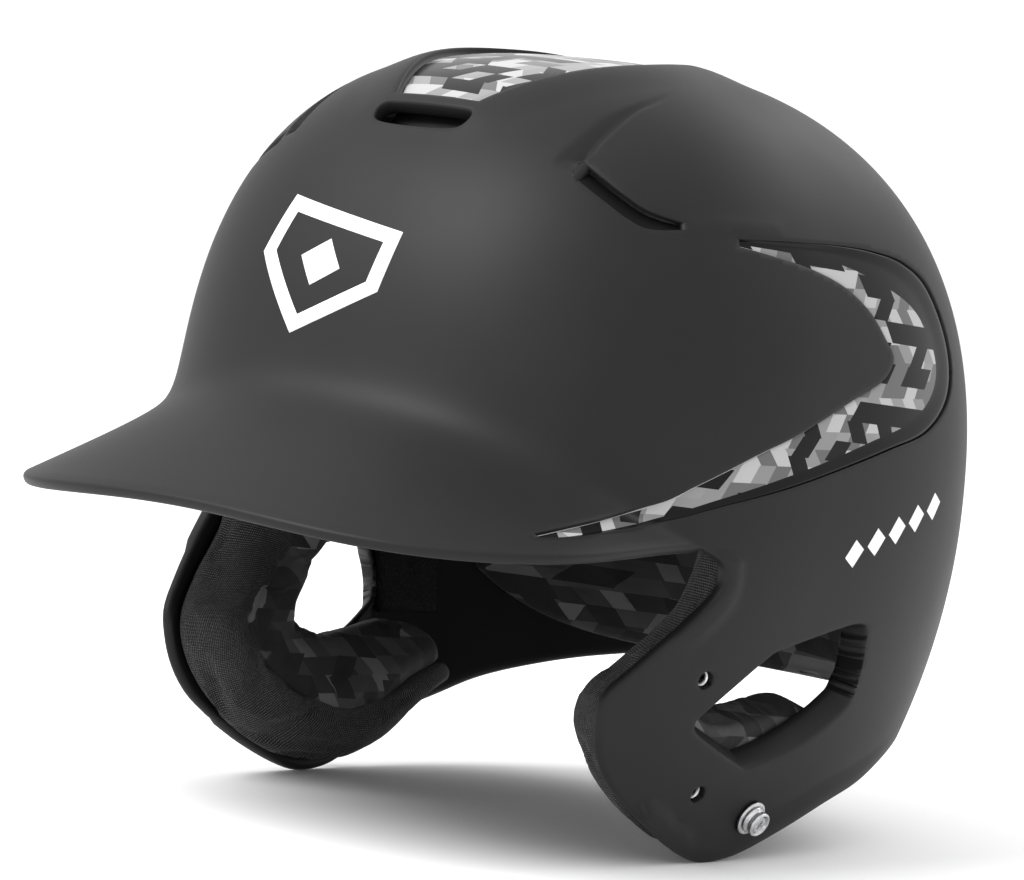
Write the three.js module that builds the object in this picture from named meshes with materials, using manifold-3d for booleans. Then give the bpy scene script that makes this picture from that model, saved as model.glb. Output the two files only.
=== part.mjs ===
// Double-flap batting helmet: millimetres, +Z up, the face opening looks along -Y, +X is the wearer's left.
import * as THREE from 'three';
import { mergeVertices } from 'three/addons/utils/BufferGeometryUtils.js';
import Module from 'manifold-3d';

const wasm = await Module();
wasm.setup();

// ---------------------------------------------------------------- driving sizes
const HALF_WIDTH = 106; // shell half width at the belt line, where z is 0 while modelling
const FRONT_REACH = 110; // forehead, forward of the centre
const BACK_REACH = 133; // back of the head, behind the centre
const CROWN_HEIGHT = 126; // top of the dome above the belt line
const CROWN_SHIFT = -2.1; // the crown sits this far along Y from the centre
const PLAN_POWER = 2.47; // squareness of the level sections
const SIDE_POWER = 2.82; // squareness of the side, front and back profiles
const FRONT_POWER = 2.45;
const BACK_POWER = 2.07;
const SIDE_TUCK = 23.2; // pull-in of the flaps and nape, flare of the cheeks, all 100 below the belt
const BACK_TUCK = 21.3;
const CHEEK_FLARE = 27.6;
const TUCK_DEPTH = 100;

const WALL = 3.6; // shell wall
const GAP = 0.3; // between touching pieces
const SEAT_GAP = 1.2; // between curved layers, room for glue and for the facets

const BILL_REACH = 163; // bill edge, forward of the centre
const BILL_HALF_WIDTH = 113;
const BILL_POWER = 3.08;
const BILL_SLOPE = 28.5; // degrees below level
const BILL_EDGE = -8.5; // height of the bill edge
const BILL_SAG = 3.8; // its extra dip between the centre and the temple
const BILL_FILLET = 12.35; // softness of the crease where the bill leaves the forehead
const BILL_ROOT = 30; // height where the bill starts to leave the forehead
const TEMPLE = 62; // azimuth where the bill edge meets the face opening
const BILL_FADE = 22; // degrees over which the bill dies into the side
const FADE_POWER = 0.7; // below 1 the bill stays wide for longer

const FOAM = 10; // moulded foam liners
const FABRIC_PAD = 9; // brow and nape pads
const CROWN_PAD = 7;
const HOOK_STRIP = 2; // hook-and-loop strip under an ear cushion
const EAR_PAD = 18; // ear cushion
const EDGE_PAD = 12; // knit pad along the guard's front and bottom edge

const INLAY_DEPTH = 0.6; // camouflage inlays lie this far below the skin
const INLAY = 1; // and are this thick
const INLAY_GAP = 0.6; // round and behind them
const VENT_PLATE = 1.8;

const STUD_FLANGE = 5.4; // radii of the snap stud
const STUD_RING = 3.9;
const STUD_BORE = 1.9;
const STUD_SHANK = 1.6;
const STUD_HEAD = 2.7;
const NUT = 4.6;
const FLANGE_THICK = 1;
const RING_HEIGHT = 3.4;
const NUT_THICK = 1.4;
const INSERT_RADIUS = 2.7; // radii of the face-guard inserts
const INSERT_BORE = 1.6;
const INSERT_FLANGE = 4.4;
const INSERT_SUNK = 0.8;

// places: azimuth and height, degrees and millimetres, 0 degrees at the front
const FLAP_FRONT = [
  [TEMPLE, BILL_EDGE], [66.5, -13], [67.5, -18], [66.6, -23.5], [62, -32.5], [55, -45.3], [50.6, -54],
  [50.1, -62], [51.2, -71], [54, -79.5], [58.5, -87.8],
];
const FLAP_BOTTOM = [
  [58.5, -87.8], [66, -96.2], [74.3, -102.5], [81.5, -104.9], [91.2, -103.1], [102.2, -96.2], [112.7, -88.5],
  [122, -83], [130, -77.5], [139, -72.7], [150, -67.6], [165, -62.5], [180, -61],
];
// places on the side, seen along X: y and z
const EAR_HOLE = [
  [22.5, -31], [28.8, -40], [30, -52], [27, -59.5], [11, -69.5], [-9, -75.5], [-16, -74.8], [-37, -65.8],
  [-41, -61.5], [-38, -56.8], [-20, -42.2], [-11, -38.2],
];
const EAR_CENTRE = [-4, -54];
const INSERTS = { upper: [-41.5, -48], lower: [-28.4, -82.7] };
const STUD = [0, -90.6];
// the camouflage band's two edges, azimuth and height, from its upper tip round the bend to its front tip
const BAND_LENS_SIDE = [
  [66, 75.2], [76, 72.6], [84, 69.9], [91.5, 65.8], [97.5, 59.6], [101.5, 52], [103.6, 46.2], [100.5, 40.2],
  [94.7, 36], [87.3, 30.2], [78.5, 23.1], [70.7, 17.2], [61, 8.1], [55.3, 2.4], [47.5, -1.6], [40.5, -4.4],
];
const BAND_RIM_SIDE = [
  [66, 77.4], [79, 78], [92, 78.2], [103, 77.2], [112.5, 74.5], [120, 67.5], [124.9, 50], [123.5, 36],
  [115.4, 25.3], [103.5, 19.6], [90, 13.2], [78, 7.6], [66.4, 2.4], [56.5, -2.9], [47, -5.8], [40.5, -7.2],
];
const VENT_LOW = [[37.8, 89.8], [43.5, 83.6], [47.3, 79.5], [51, 77.3], [57.5, 78.2]];
const VENT_HIGH = [[39.1, 95.1], [43, 90.9], [47, 86.6], [51, 83], [57.5, 80.4]];
const VENT_SHUT = 0.72; // share of the side vent that the louvre plate fills
const TOP_SLOT = { halfAngle: 13.5, low: 99.6, high: 105.4 };
const TOP_PANEL = [[-70.5, 16], [-60, 22.5], [-46, 29.5], [-30, 35], [-15, 36], [5, 31], [25, 22], [42, 9]];

// colours
const CHARCOAL = 0x3a3a3c;
const BLACK = 0x151516;
const GREY_CAMO = 0x8b8b8d;
const DARK_CAMO = 0x4a4a4c;
const KNIT = 0x242426;
const STEEL = 0xc2c4c8;

// ---------------------------------------------------------------- shell surface
const rad = THREE.MathUtils.degToRad;
const lerp = THREE.MathUtils.lerp;

function powerEdge(share, power) {
  return (1 - share ** power) ** (1 / power);
}

function levelReach(z) {
  const up = Math.min(Math.max(z, 0) / CROWN_HEIGHT, 1);
  const down = Math.max(-z, 0) / TUCK_DEPTH;
  return {
    side: HALF_WIDTH * powerEdge(up, SIDE_POWER) - SIDE_TUCK * down ** 2,
    front: FRONT_REACH * powerEdge(up, FRONT_POWER) + CHEEK_FLARE * down,
    back: BACK_REACH * powerEdge(up, BACK_POWER) - BACK_TUCK * down ** 2,
  };
}

function domeRadius(azimuth, z) {
  const reach = levelReach(z);
  const along = Math.cos(azimuth) >= 0 ? reach.front : reach.back;
  if (reach.side < 1e-6) {
    return 0;
  }
  const across = (Math.abs(Math.sin(azimuth)) / reach.side) ** PLAN_POWER;
  return (across + (Math.abs(Math.cos(azimuth)) / along) ** PLAN_POWER) ** (-1 / PLAN_POWER);
}

function billEdgeHeight(azimuth) {
  const share = Math.min(Math.abs(azimuth) / rad(TEMPLE), 1);
  return BILL_EDGE - BILL_SAG * Math.sin(Math.PI * share) ** 2;
}

function billedRadius(azimuth, z) {
  const dome = domeRadius(azimuth, z);
  if (Math.abs(azimuth) >= rad(TEMPLE)) {
    return dome;
  }
  const inFront = rad(TEMPLE) - Math.abs(azimuth);
  const strength = THREE.MathUtils.smoothstep(inFront, 0, rad(BILL_FADE)) ** FADE_POWER;
  const edgeHeight = billEdgeHeight(azimuth);
  const root = domeRadius(azimuth, edgeHeight);
  const across = (Math.abs(Math.sin(azimuth)) / BILL_HALF_WIDTH) ** BILL_POWER;
  const edge = (across + (Math.cos(azimuth) / BILL_REACH) ** BILL_POWER) ** (-1 / BILL_POWER);
  const bill = lerp(root, edge, strength) - (z - edgeHeight) / Math.tan(rad(BILL_SLOPE));
  return (dome + bill + Math.hypot(dome - bill, BILL_FILLET * strength)) / 2;
}

// level runs down the profile: 0 at the crown, a quarter turn at the belt, and on down the flaps
function heightAt(level) {
  return level < Math.PI / 2 ? CROWN_HEIGHT * Math.cos(level) : -CROWN_HEIGHT * (level - Math.PI / 2);
}

function levelOf(z) {
  return z > 0 ? Math.acos(Math.min(z / CROWN_HEIGHT, 1)) : Math.PI / 2 - z / CROWN_HEIGHT;
}

function shiftAt(z) {
  return CROWN_SHIFT * (Math.max(z, 0) / CROWN_HEIGHT) ** 2;
}

function skinPoint(azimuth, level, radiusOf = billedRadius) {
  const z = heightAt(level);
  const radius = radiusOf(azimuth, z);
  return new THREE.Vector3(radius * Math.sin(azimuth), shiftAt(z) - radius * Math.cos(azimuth), z);
}

function skinNormal(azimuth, level, radiusOf = billedRadius) {
  const step = 0.003;
  const middle = Math.max(level, 5 * step);
  const down = skinPoint(azimuth, middle + step, radiusOf).sub(skinPoint(azimuth, middle - step, radiusOf));
  const round = skinPoint(azimuth + step, middle, radiusOf).sub(skinPoint(azimuth - step, middle, radiusOf));
  return down.cross(round).normalize();
}

// a place on the skin from its azimuth in degrees and height, from the side view, or from above
function spotByHeight(degrees, z) {
  return [rad(degrees), levelOf(z)];
}

function spotBySide(side, y, z) {
  const reach = levelReach(z);
  const along = y - shiftAt(z);
  const share = Math.min(Math.abs(along) / (along < 0 ? reach.front : reach.back), 0.999);
  const x = reach.side * powerEdge(share, PLAN_POWER);
  return [Math.atan2(side * x, -along), levelOf(z)];
}

function spotByPlan(x, y) {
  let near = 0;
  let far = Math.PI / 2;
  for (let i = 0; i < 40; i++) {
    const middle = (near + far) / 2;
    const along = y - shiftAt(heightAt(middle));
    const inside = domeRadius(Math.atan2(x, -along), heightAt(middle)) < Math.hypot(x, along);
    near = inside ? middle : near;
    far = inside ? far : middle;
  }
  return [Math.atan2(x, -(y - shiftAt(heightAt(near)))), near];
}

// ---------------------------------------------------------------- solids from patches of the skin
// A patch is {spot, columns, rows, surface}: spot(a, b) gives [azimuth, level] for a and b from 0 to 1,
// and surface is the radius function, with the bill unless the patch lies under it.
function gatherSkin(patches) {
  const skin = { points: [], normals: [], faces: [] };
  const known = new Map();
  for (const { spot, columns, rows, surface = billedRadius } of patches) {
    const grid = [];
    for (let j = 0; j <= rows; j++) {
      for (let i = 0; i <= columns; i++) {
        const [azimuth, level] = spot(i / columns, j / rows);
        const point = skinPoint(azimuth, level, surface);
        const key = point.toArray().map((value) => Math.round(value * 100) + 0).join();
        if (!known.has(key)) {
          known.set(key, skin.points.length);
          skin.points.push(point);
          skin.normals.push(skinNormal(azimuth, level, surface));
        }
        grid.push(known.get(key));
      }
    }
    for (let j = 0; j < rows; j++) {
      for (let i = 0; i < columns; i++) {
        const corner = j * (columns + 1) + i;
        const below = corner + columns + 1;
        addOutwardFace(skin, grid[corner], grid[below], grid[corner + 1]);
        addOutwardFace(skin, grid[corner + 1], grid[below], grid[below + 1]);
      }
    }
  }
  return skin;
}

function addOutwardFace(skin, a, b, c) {
  if (a === b || b === c || c === a) {
    return;
  }
  const across = skin.points[b].clone().sub(skin.points[a]);
  const turn = across.cross(skin.points[c].clone().sub(skin.points[a]));
  const outward = turn.dot(skin.normals[a].clone().add(skin.normals[b]).add(skin.normals[c])) > 0;
  skin.faces.push(outward ? [a, b, c] : [a, c, b]);
}

function underBill(patch) {
  return { ...patch, surface: domeRadius };
}

// the closed solid between two depths below the skin
function solidBetween(patches, outerDepth, innerDepth) {
  const skin = gatherSkin(patches);
  const count = skin.points.length;
  const sunk = (depth) => (
    skin.points.map((point, i) => point.clone().addScaledVector(skin.normals[i], -depth))
  );
  const points = [...sunk(outerDepth), ...sunk(innerDepth)];
  const open = new Map();
  for (const [a, b, c] of skin.faces) {
    for (const [from, to] of [[a, b], [b, c], [c, a]]) {
      if (!open.delete(`${to},${from}`)) {
        open.set(`${from},${to}`, [from, to]);
      }
    }
  }
  const faces = skin.faces.flatMap(([a, b, c]) => [[a, b, c], [a + count, c + count, b + count]]);
  for (const [from, to] of open.values()) {
    faces.push([to, from, from + count], [to, from + count, to + count]);
  }
  const geometry = new THREE.BufferGeometry().setFromPoints(points);
  geometry.setIndex(faces.flat());
  return geometry;
}

// ---------------------------------------------------------------- joins and cuts
function toSolid(geometry) {
  const bare = geometry.clone();
  bare.deleteAttribute('normal');
  bare.deleteAttribute('uv');
  const merged = mergeVertices(bare, 1e-4);
  return new wasm.Manifold(new wasm.Mesh({
    numProp: 3,
    vertProperties: new Float32Array(merged.attributes.position.array),
    triVerts: new Uint32Array(merged.index.array),
  }));
}

function toGeometry(solid) {
  const mesh = solid.getMesh();
  const geometry = new THREE.BufferGeometry();
  geometry.setAttribute('position', new THREE.BufferAttribute(new Float32Array(mesh.vertProperties), 3));
  geometry.setIndex(new THREE.BufferAttribute(new Uint32Array(mesh.triVerts), 1));
  return geometry;
}

function cut(geometry, tools) {
  let solid = toSolid(geometry);
  for (const tool of tools) {
    solid = solid.subtract(toSolid(tool));
  }
  return toGeometry(solid);
}

// a round profile of [radius, height] pairs, turned about the skin's normal at a spot, outward positive
function turned(profile, spot, segments = 16) {
  const geometry = new THREE.LatheGeometry(profile.map(([r, h]) => new THREE.Vector2(r, h)), segments);
  return placed(geometry, spot);
}

function placed(geometry, [azimuth, level]) {
  const turn = new THREE.Quaternion().setFromUnitVectors(
    new THREE.Vector3(0, 1, 0),
    skinNormal(azimuth, level, domeRadius),
  );
  const place = skinPoint(azimuth, level, domeRadius);
  return geometry.applyMatrix4(new THREE.Matrix4().compose(place, turn, new THREE.Vector3(1, 1, 1)));
}

function ring(inner, outer, low, high) {
  return [[inner, low], [outer, low], [outer, high], [inner, high], [inner, low]];
}

function rod(radius, low, high) {
  return [[0, low], [radius, low], [radius, high], [0, high]];
}

function curveThrough(points) {
  return new THREE.SplineCurve(points.map(([a, b]) => new THREE.Vector2(a, b)));
}

// the strip between two curves, with a margin kept at both edges, as places on one side of the helmet
function strip(side, fromCurve, toCurve, margin, columns, rows, toSpot = spotBySide) {
  const spot = (a, b) => {
    const from = fromCurve.getPoint(a);
    const to = toCurve.getPoint(a);
    const width = from.distanceTo(to);
    const share = lerp(margin / width, 1 - margin / width, b);
    const place = from.lerp(to, share);
    return toSpot(side, place.x, place.y);
  };
  return { spot, columns, rows };
}

function shortened(curve, from, to) {
  return { getPoint: (share) => curve.getPoint(lerp(from, to, share)) };
}

// ---------------------------------------------------------------- shell
const flapFront = curveThrough(FLAP_FRONT);
const flapBottom = curveThrough(FLAP_BOTTOM);

function domePatches() {
  const rows = 14;
  const domeRows = 8 / rows; // the rest of the rows are spread over the bill and the belt
  const column = (degrees, share) => {
    const edge = Math.abs(degrees) < TEMPLE ? billEdgeHeight(rad(degrees)) : BILL_EDGE;
    const root = levelOf(BILL_ROOT);
    const below = lerp(root, levelOf(edge), (share - domeRows) / (1 - domeRows));
    return [rad(degrees), share < domeRows ? root * share / domeRows : below];
  };
  const front = { spot: (a, b) => column(lerp(-TEMPLE, TEMPLE, a), b), columns: 22, rows };
  const sides = [-1, 1].map((side) => ({
    spot: (a, b) => column(side * lerp(TEMPLE, 180, a), b),
    columns: 14,
    rows,
  }));
  return [front, ...sides];
}

// the flap and half the nape: four edges blended, in azimuth and height
function flapPatch(side) {
  const spot = (a, b) => {
    const top = new THREE.Vector2(lerp(TEMPLE, 180, a), BILL_EDGE);
    const bottom = flapBottom.getPoint(a);
    const front = flapFront.getPoint(b);
    const back = new THREE.Vector2(180, lerp(BILL_EDGE, flapBottom.getPoint(1).y, b));
    const corners = [
      [new THREE.Vector2(TEMPLE, BILL_EDGE), (1 - a) * (1 - b)],
      [new THREE.Vector2(180, BILL_EDGE), a * (1 - b)],
      [flapBottom.getPoint(0), (1 - a) * b],
      [flapBottom.getPoint(1), a * b],
    ];
    const place = top.multiplyScalar(1 - b).addScaledVector(bottom, b);
    place.addScaledVector(front, 1 - a).addScaledVector(back, a);
    for (const [corner, weight] of corners) {
      place.addScaledVector(corner, -weight);
    }
    return spotByHeight(side * place.x, place.y);
  };
  return { spot, columns: 14, rows: 9, surface: domeRadius };
}

// a straight plug along X through one side, from an outline of y and z
function sidePlug(side, outline) {
  const shape = new THREE.Shape(curveThrough(outline.concat([outline[0]])).getPoints(28));
  const plug = new THREE.ExtrudeGeometry(shape, { depth: HALF_WIDTH, bevelEnabled: false });
  plug.applyMatrix4(new THREE.Matrix4().makeBasis(
    new THREE.Vector3(0, 1, 0),
    new THREE.Vector3(0, 0, 1),
    new THREE.Vector3(1, 0, 0),
  ));
  return plug.translate(side > 0 ? HALF_WIDTH / 2 : -HALF_WIDTH * 1.5, 0, 0);
}

function topSlotPatch() {
  const { halfAngle, low, high } = TOP_SLOT;
  const spot = (a, b) => spotByHeight(lerp(-halfAngle, halfAngle, a), lerp(high, low, b));
  return { spot, columns: 6, rows: 1 };
}

function topPanelPatch(margin) {
  const edge = curveThrough(TOP_PANEL);
  const spot = (a, b) => {
    const place = edge.getPoint(b);
    const y = place.x + lerp(margin, -margin, b);
    return spotByPlan(lerp(margin - place.y, place.y - margin, a), y);
  };
  return { spot, columns: 6, rows: 11 };
}

const bandLensSide = curveThrough(BAND_LENS_SIDE);
const bandRimSide = curveThrough(BAND_RIM_SIDE);
const ventLow = curveThrough(VENT_LOW);
const ventHigh = curveThrough(VENT_HIGH);
const heightSpot = (side, degrees, z) => spotByHeight(side * degrees, z);

function camoPatch(side, margin) {
  const ends = margin / 100;
  const lens = shortened(bandLensSide, ends, 1 - ends);
  return strip(side, lens, shortened(bandRimSide, ends, 1 - ends), margin, 30, 2, heightSpot);
}

function makeShell() {
  const skin = [...domePatches(), flapPatch(1), flapPatch(-1)];
  const pocket = INLAY_DEPTH + INLAY + INLAY_GAP;
  const tools = [
    solidBetween([topSlotPatch()], -WALL, 2 * WALL),
    solidBetween([topPanelPatch(0)], -WALL, pocket),
  ];
  for (const side of [1, -1]) {
    tools.push(sidePlug(side, EAR_HOLE));
    tools.push(solidBetween([camoPatch(side, 0)], -WALL, pocket));
    tools.push(solidBetween([strip(side, ventLow, ventHigh, 0, 8, 1, heightSpot)], -WALL, 2 * WALL));
    tools.push(turned(rod(STUD_BORE, -2 * WALL, 2 * WALL), spotBySide(side, ...STUD)));
    for (const place of Object.values(INSERTS)) {
      tools.push(turned(rod(INSERT_RADIUS + GAP, -2 * WALL, 2 * WALL), spotBySide(side, ...place)));
    }
  }
  return cut(solidBetween(skin, 0, WALL), tools);
}

// ---------------------------------------------------------------- inlays and vents
function makeTopInlay() {
  return solidBetween([topPanelPatch(INLAY_GAP)], INLAY_DEPTH, INLAY_DEPTH + INLAY);
}

function makeCamoInlay(side) {
  return solidBetween([camoPatch(side, INLAY_GAP)], INLAY_DEPTH, INLAY_DEPTH + INLAY);
}

function makeSideLouvre(side) {
  const high = { getPoint: (share) => ventLow.getPoint(share).lerp(ventHigh.getPoint(share), VENT_SHUT) };
  const patch = strip(side, shortened(ventLow, 0.03, 0.9), shortened(high, 0.03, 0.9), GAP, 6, 1, heightSpot);
  return solidBetween([patch], WALL - VENT_PLATE, WALL);
}

// the duct frame behind the top slot: a ring of four bars under the shell
function makeTopDuct() {
  const { halfAngle, low, high } = TOP_SLOT;
  const border = 3;
  const outer = { spot: (a, b) => spotByHeight(lerp(-halfAngle - 3, halfAngle + 3, a),
    lerp(high + border, low - border, b)), columns: 8, rows: 2 };
  const depth = WALL + SEAT_GAP;
  return cut(solidBetween([outer], depth, depth + VENT_PLATE), [solidBetween([topSlotPatch()], 0, 3 * WALL)]);
}

// ---------------------------------------------------------------- liners and pads
const FOAM_TOP = WALL + SEAT_GAP;
const PAD_TOP = FOAM_TOP + FOAM + SEAT_GAP;

function blockPatch(fromDegrees, toDegrees, high, low, columns, rows) {
  const spot = (a, b) => {
    const level = lerp(levelOf(high), levelOf(low), b);
    return [rad(lerp(fromDegrees, toDegrees, a)), level];
  };
  return { spot, columns, rows };
}

function capPatch(low, columns, rows) {
  return { spot: (a, b) => [rad(lerp(-180, 180, a)), levelOf(low) * b], columns, rows };
}

function makeCrownLiner() {
  return solidBetween([underBill(capPatch(111, 22, 3))], FOAM_TOP, FOAM_TOP + FOAM);
}

function makeCrownPad() {
  return solidBetween([underBill(capPatch(119, 18, 2))], PAD_TOP, PAD_TOP + CROWN_PAD);
}

function makeLiner(fromDegrees, toDegrees, high, low, columns, rows) {
  const patch = blockPatch(fromDegrees, toDegrees, high, low, columns, rows);
  return solidBetween([underBill(patch)], FOAM_TOP, FOAM_TOP + FOAM);
}

function makeBrowPad() {
  return solidBetween([underBill(blockPatch(-50, 50, 32, 8, 12, 2))], FOAM_TOP, FOAM_TOP + FABRIC_PAD);
}

// the nape pad's lower edge follows the rim at its middle and rounds up at both ends
function makeNapePad() {
  const halfSpan = 52;
  const top = -8;
  const bottom = -64;
  const roundEnd = 22;
  const spot = (a, b) => {
    const turn = lerp(-halfSpan, halfSpan, a);
    const end = (Math.abs(turn) / halfSpan) ** 4;
    return spotByHeight(180 + turn, lerp(top, bottom + roundEnd * end, b));
  };
  const patch = { spot, columns: 14, rows: 3 };
  return solidBetween([underBill(patch)], FOAM_TOP, FOAM_TOP + FABRIC_PAD);
}

// the path of the ear pads: down the guard's front edge, round its bottom and back, seen along X
const EAR_PATH = curveThrough([
  [-33, 0], [-38.5, -12], [-44, -30], [-60, -45], [-70, -56], [-69, -67], [-58, -81], [-38, -94.5],
  [-14, -101.5], [8, -98.5], [32, -88], [50, -80.5],
]);

function insetPath(inset) {
  const centre = new THREE.Vector2(...EAR_CENTRE);
  const getPoint = (share) => {
    const point = EAR_PATH.getPoint(share);
    return point.add(centre.clone().sub(point).setLength(inset));
  };
  return { getPoint };
}

const FLANGE_SEAT = 0.35; // above the crowned skin
const NUT_SEAT = -(WALL + 0.5); // below it, clear of the hollow side
const EDGE_BAND = [3, 11]; // insets of the knit edge pad
// and the ear cushion beside it, out to the mouth it leaves round the ear
const CUSHION_INSET = 11.6;
const CUSHION_MOUTH = curveThrough([
  [-2, -8], [-3, -22], [-10, -36], [-22, -47], [-30, -54.5], [-31, -61], [-26, -65], [-16, -66.5],
  [-5, -65.5], [6, -64], [18, -62.5], [30, -64],
]);
const PAD_SEAT = FOAM_TOP + HOOK_STRIP + SEAT_GAP;

function makeEdgePad(side) {
  const patch = strip(side, insetPath(EDGE_BAND[0]), insetPath(EDGE_BAND[1]), 0, 18, 1);
  const reliefs = [STUD, ...Object.values(INSERTS)].map((place) => (
    turned(rod(NUT + SEAT_GAP, NUT_SEAT - 3 * NUT_THICK, 0), spotBySide(side, ...place))
  ));
  return cut(solidBetween([underBill(patch)], FOAM_TOP, FOAM_TOP + EDGE_PAD), reliefs);
}

function makeEarCushion(side) {
  const patch = strip(side, insetPath(CUSHION_INSET), CUSHION_MOUTH, 0, 18, 2);
  return solidBetween([underBill(patch)], PAD_SEAT, PAD_SEAT + EAR_PAD);
}

function makeHookStrip(side) {
  const patch = blockPatch(side * 107, side * 121, -14, -58, 3, 4);
  return solidBetween([underBill(patch)], FOAM_TOP, FOAM_TOP + HOOK_STRIP);
}

// ---------------------------------------------------------------- metal fittings
function makeStudBase(side) {
  const profile = ring(STUD_BORE, STUD_FLANGE, FLANGE_SEAT, FLANGE_SEAT + FLANGE_THICK);
  return turned(profile, spotBySide(side, ...STUD));
}

function makeStudRing(side) {
  const low = FLANGE_SEAT + FLANGE_THICK + GAP;
  const profile = [
    [STUD_BORE, low], [STUD_RING + 0.3, low], [STUD_RING + 0.3, low + 0.6], [STUD_RING - 0.6, low + 1.1],
    [STUD_RING - 0.5, low + 1.7], [STUD_RING, low + 2.3], [STUD_RING - 0.1, low + RING_HEIGHT - 0.3],
    [STUD_RING - 0.4, low + RING_HEIGHT], [STUD_HEAD + 0.3, low + RING_HEIGHT],
    [STUD_HEAD + 0.3, low + 1.2], [STUD_BORE, low + 1.2], [STUD_BORE, low],
  ];
  return turned(profile, spotBySide(side, ...STUD), 20);
}

function makeStudScrew(side) {
  const seat = FLANGE_SEAT + FLANGE_THICK + 2 * GAP + 1.2;
  const head = seat + 1.5;
  const profile = [
    [0, NUT_SEAT - NUT_THICK - 0.8], [STUD_SHANK, NUT_SEAT - NUT_THICK - 0.8], [STUD_SHANK, seat],
    [STUD_HEAD, seat], [STUD_HEAD, head - 0.5], [STUD_HEAD - 0.5, head], [0, head],
  ];
  const spot = spotBySide(side, ...STUD);
  const slots = [0, Math.PI / 2].map((turn) => {
    const slot = new THREE.BoxGeometry(2.8, 1.4, 0.6).rotateY(turn).translate(0, head, 0);
    return placed(slot, spot);
  });
  return cut(turned(profile, spot), slots);
}

function makeStudNut(side) {
  return turned(ring(STUD_BORE, NUT, NUT_SEAT - NUT_THICK, NUT_SEAT), spotBySide(side, ...STUD));
}

function makeInsert(side, place) {
  const profile = [
    [INSERT_BORE, NUT_SEAT - 1.1], [INSERT_FLANGE, NUT_SEAT - 1.1], [INSERT_FLANGE, NUT_SEAT],
    [INSERT_RADIUS, NUT_SEAT], [INSERT_RADIUS, -INSERT_SUNK], [INSERT_BORE, -INSERT_SUNK],
    [INSERT_BORE, NUT_SEAT - 1.1],
  ];
  return turned(profile, spotBySide(side, ...place));
}

// ---------------------------------------------------------------- assembly
const helmet = new THREE.Group();

function addPiece(name, geometry, color, roughness, metalness = 0) {
  const material = new THREE.MeshStandardMaterial({ color, roughness, metalness });
  const mesh = new THREE.Mesh(geometry, material);
  mesh.name = name;
  helmet.add(mesh);
}

addPiece('shell', makeShell(), CHARCOAL, 0.55);
addPiece('top_vent_inlay', makeTopInlay(), GREY_CAMO, 0.25);
addPiece('top_vent_duct', makeTopDuct(), BLACK, 0.5);
addPiece('crown_liner', makeCrownLiner(), BLACK, 0.85);
addPiece('front_liner', makeLiner(-35, 35, 94, 36, 10, 4), BLACK, 0.85);
addPiece('rear_liner', makeLiner(128, 232, 102, 0, 14, 6), BLACK, 0.85);
addPiece('crown_pad', makeCrownPad(), KNIT, 0.9);
addPiece('brow_pad', makeBrowPad(), KNIT, 0.9);
addPiece('nape_pad', makeNapePad(), DARK_CAMO, 0.9);
for (const [word, side] of [['left', 1], ['right', -1]]) {
  addPiece(`${word}_camo_inlay`, makeCamoInlay(side), GREY_CAMO, 0.25);
  addPiece(`${word}_side_vent_louvre`, makeSideLouvre(side), BLACK, 0.4);
  addPiece(`${word}_liner`, makeLiner(side * 60, side * 122, 102, 9, 9, 6), BLACK, 0.85);
  addPiece(`${word}_ear_edge_pad`, makeEdgePad(side), KNIT, 0.9);
  addPiece(`${word}_ear_cushion`, makeEarCushion(side), DARK_CAMO, 0.9);
  addPiece(`${word}_hook_strip`, makeHookStrip(side), KNIT, 0.95);
  addPiece(`${word}_stud_base`, makeStudBase(side), STEEL, 0.25, 1);
  addPiece(`${word}_stud_ring`, makeStudRing(side), STEEL, 0.2, 1);
  addPiece(`${word}_stud_screw`, makeStudScrew(side), STEEL, 0.3, 1);
  addPiece(`${word}_stud_nut`, makeStudNut(side), STEEL, 0.35, 1);
  for (const [level, place] of Object.entries(INSERTS)) {
    addPiece(`${word}_${level}_guard_insert`, makeInsert(side, place), STEEL, 0.35, 1);
  }
}

// the finished helmet stands on its flaps, with the middle of its box over the origin
const box = new THREE.Box3().setFromObject(helmet);
const middle = box.getCenter(new THREE.Vector3());
helmet.position.set(-middle.x, -middle.y, -box.min.z);

export default helmet;
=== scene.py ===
import math

import bmesh
import bpy
import numpy as np
from mathutils import Matrix, Vector
from mathutils.kdtree import KDTree


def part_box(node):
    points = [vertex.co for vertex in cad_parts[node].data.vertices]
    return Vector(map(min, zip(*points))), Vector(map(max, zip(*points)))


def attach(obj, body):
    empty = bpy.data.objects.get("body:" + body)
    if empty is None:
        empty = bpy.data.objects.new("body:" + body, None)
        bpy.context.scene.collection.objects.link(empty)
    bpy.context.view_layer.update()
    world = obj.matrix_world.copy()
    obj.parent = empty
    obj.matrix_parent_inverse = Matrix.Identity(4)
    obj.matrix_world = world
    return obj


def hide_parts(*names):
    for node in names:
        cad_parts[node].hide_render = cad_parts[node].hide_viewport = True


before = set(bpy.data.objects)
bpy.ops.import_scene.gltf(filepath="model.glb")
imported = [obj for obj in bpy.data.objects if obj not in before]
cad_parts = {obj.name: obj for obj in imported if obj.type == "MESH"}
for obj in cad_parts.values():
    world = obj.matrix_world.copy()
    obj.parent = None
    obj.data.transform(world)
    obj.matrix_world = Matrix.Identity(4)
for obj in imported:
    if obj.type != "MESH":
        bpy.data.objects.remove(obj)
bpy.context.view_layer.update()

# ---------------------------------------------------------------- sizes of the shell, in millimetres
HALF_WIDTH = 106
FRONT_REACH = 110
BACK_REACH = 133
CROWN_HEIGHT = 126
CROWN_SHIFT = -2.1
PLAN_POWER = 2.47
SIDE_POWER, FRONT_POWER, BACK_POWER = 2.82, 2.45, 2.07
SIDE_TUCK, BACK_TUCK, CHEEK_FLARE, TUCK_DEPTH = 23.2, 21.3, 27.6, 100
WALL = 3.6
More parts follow.
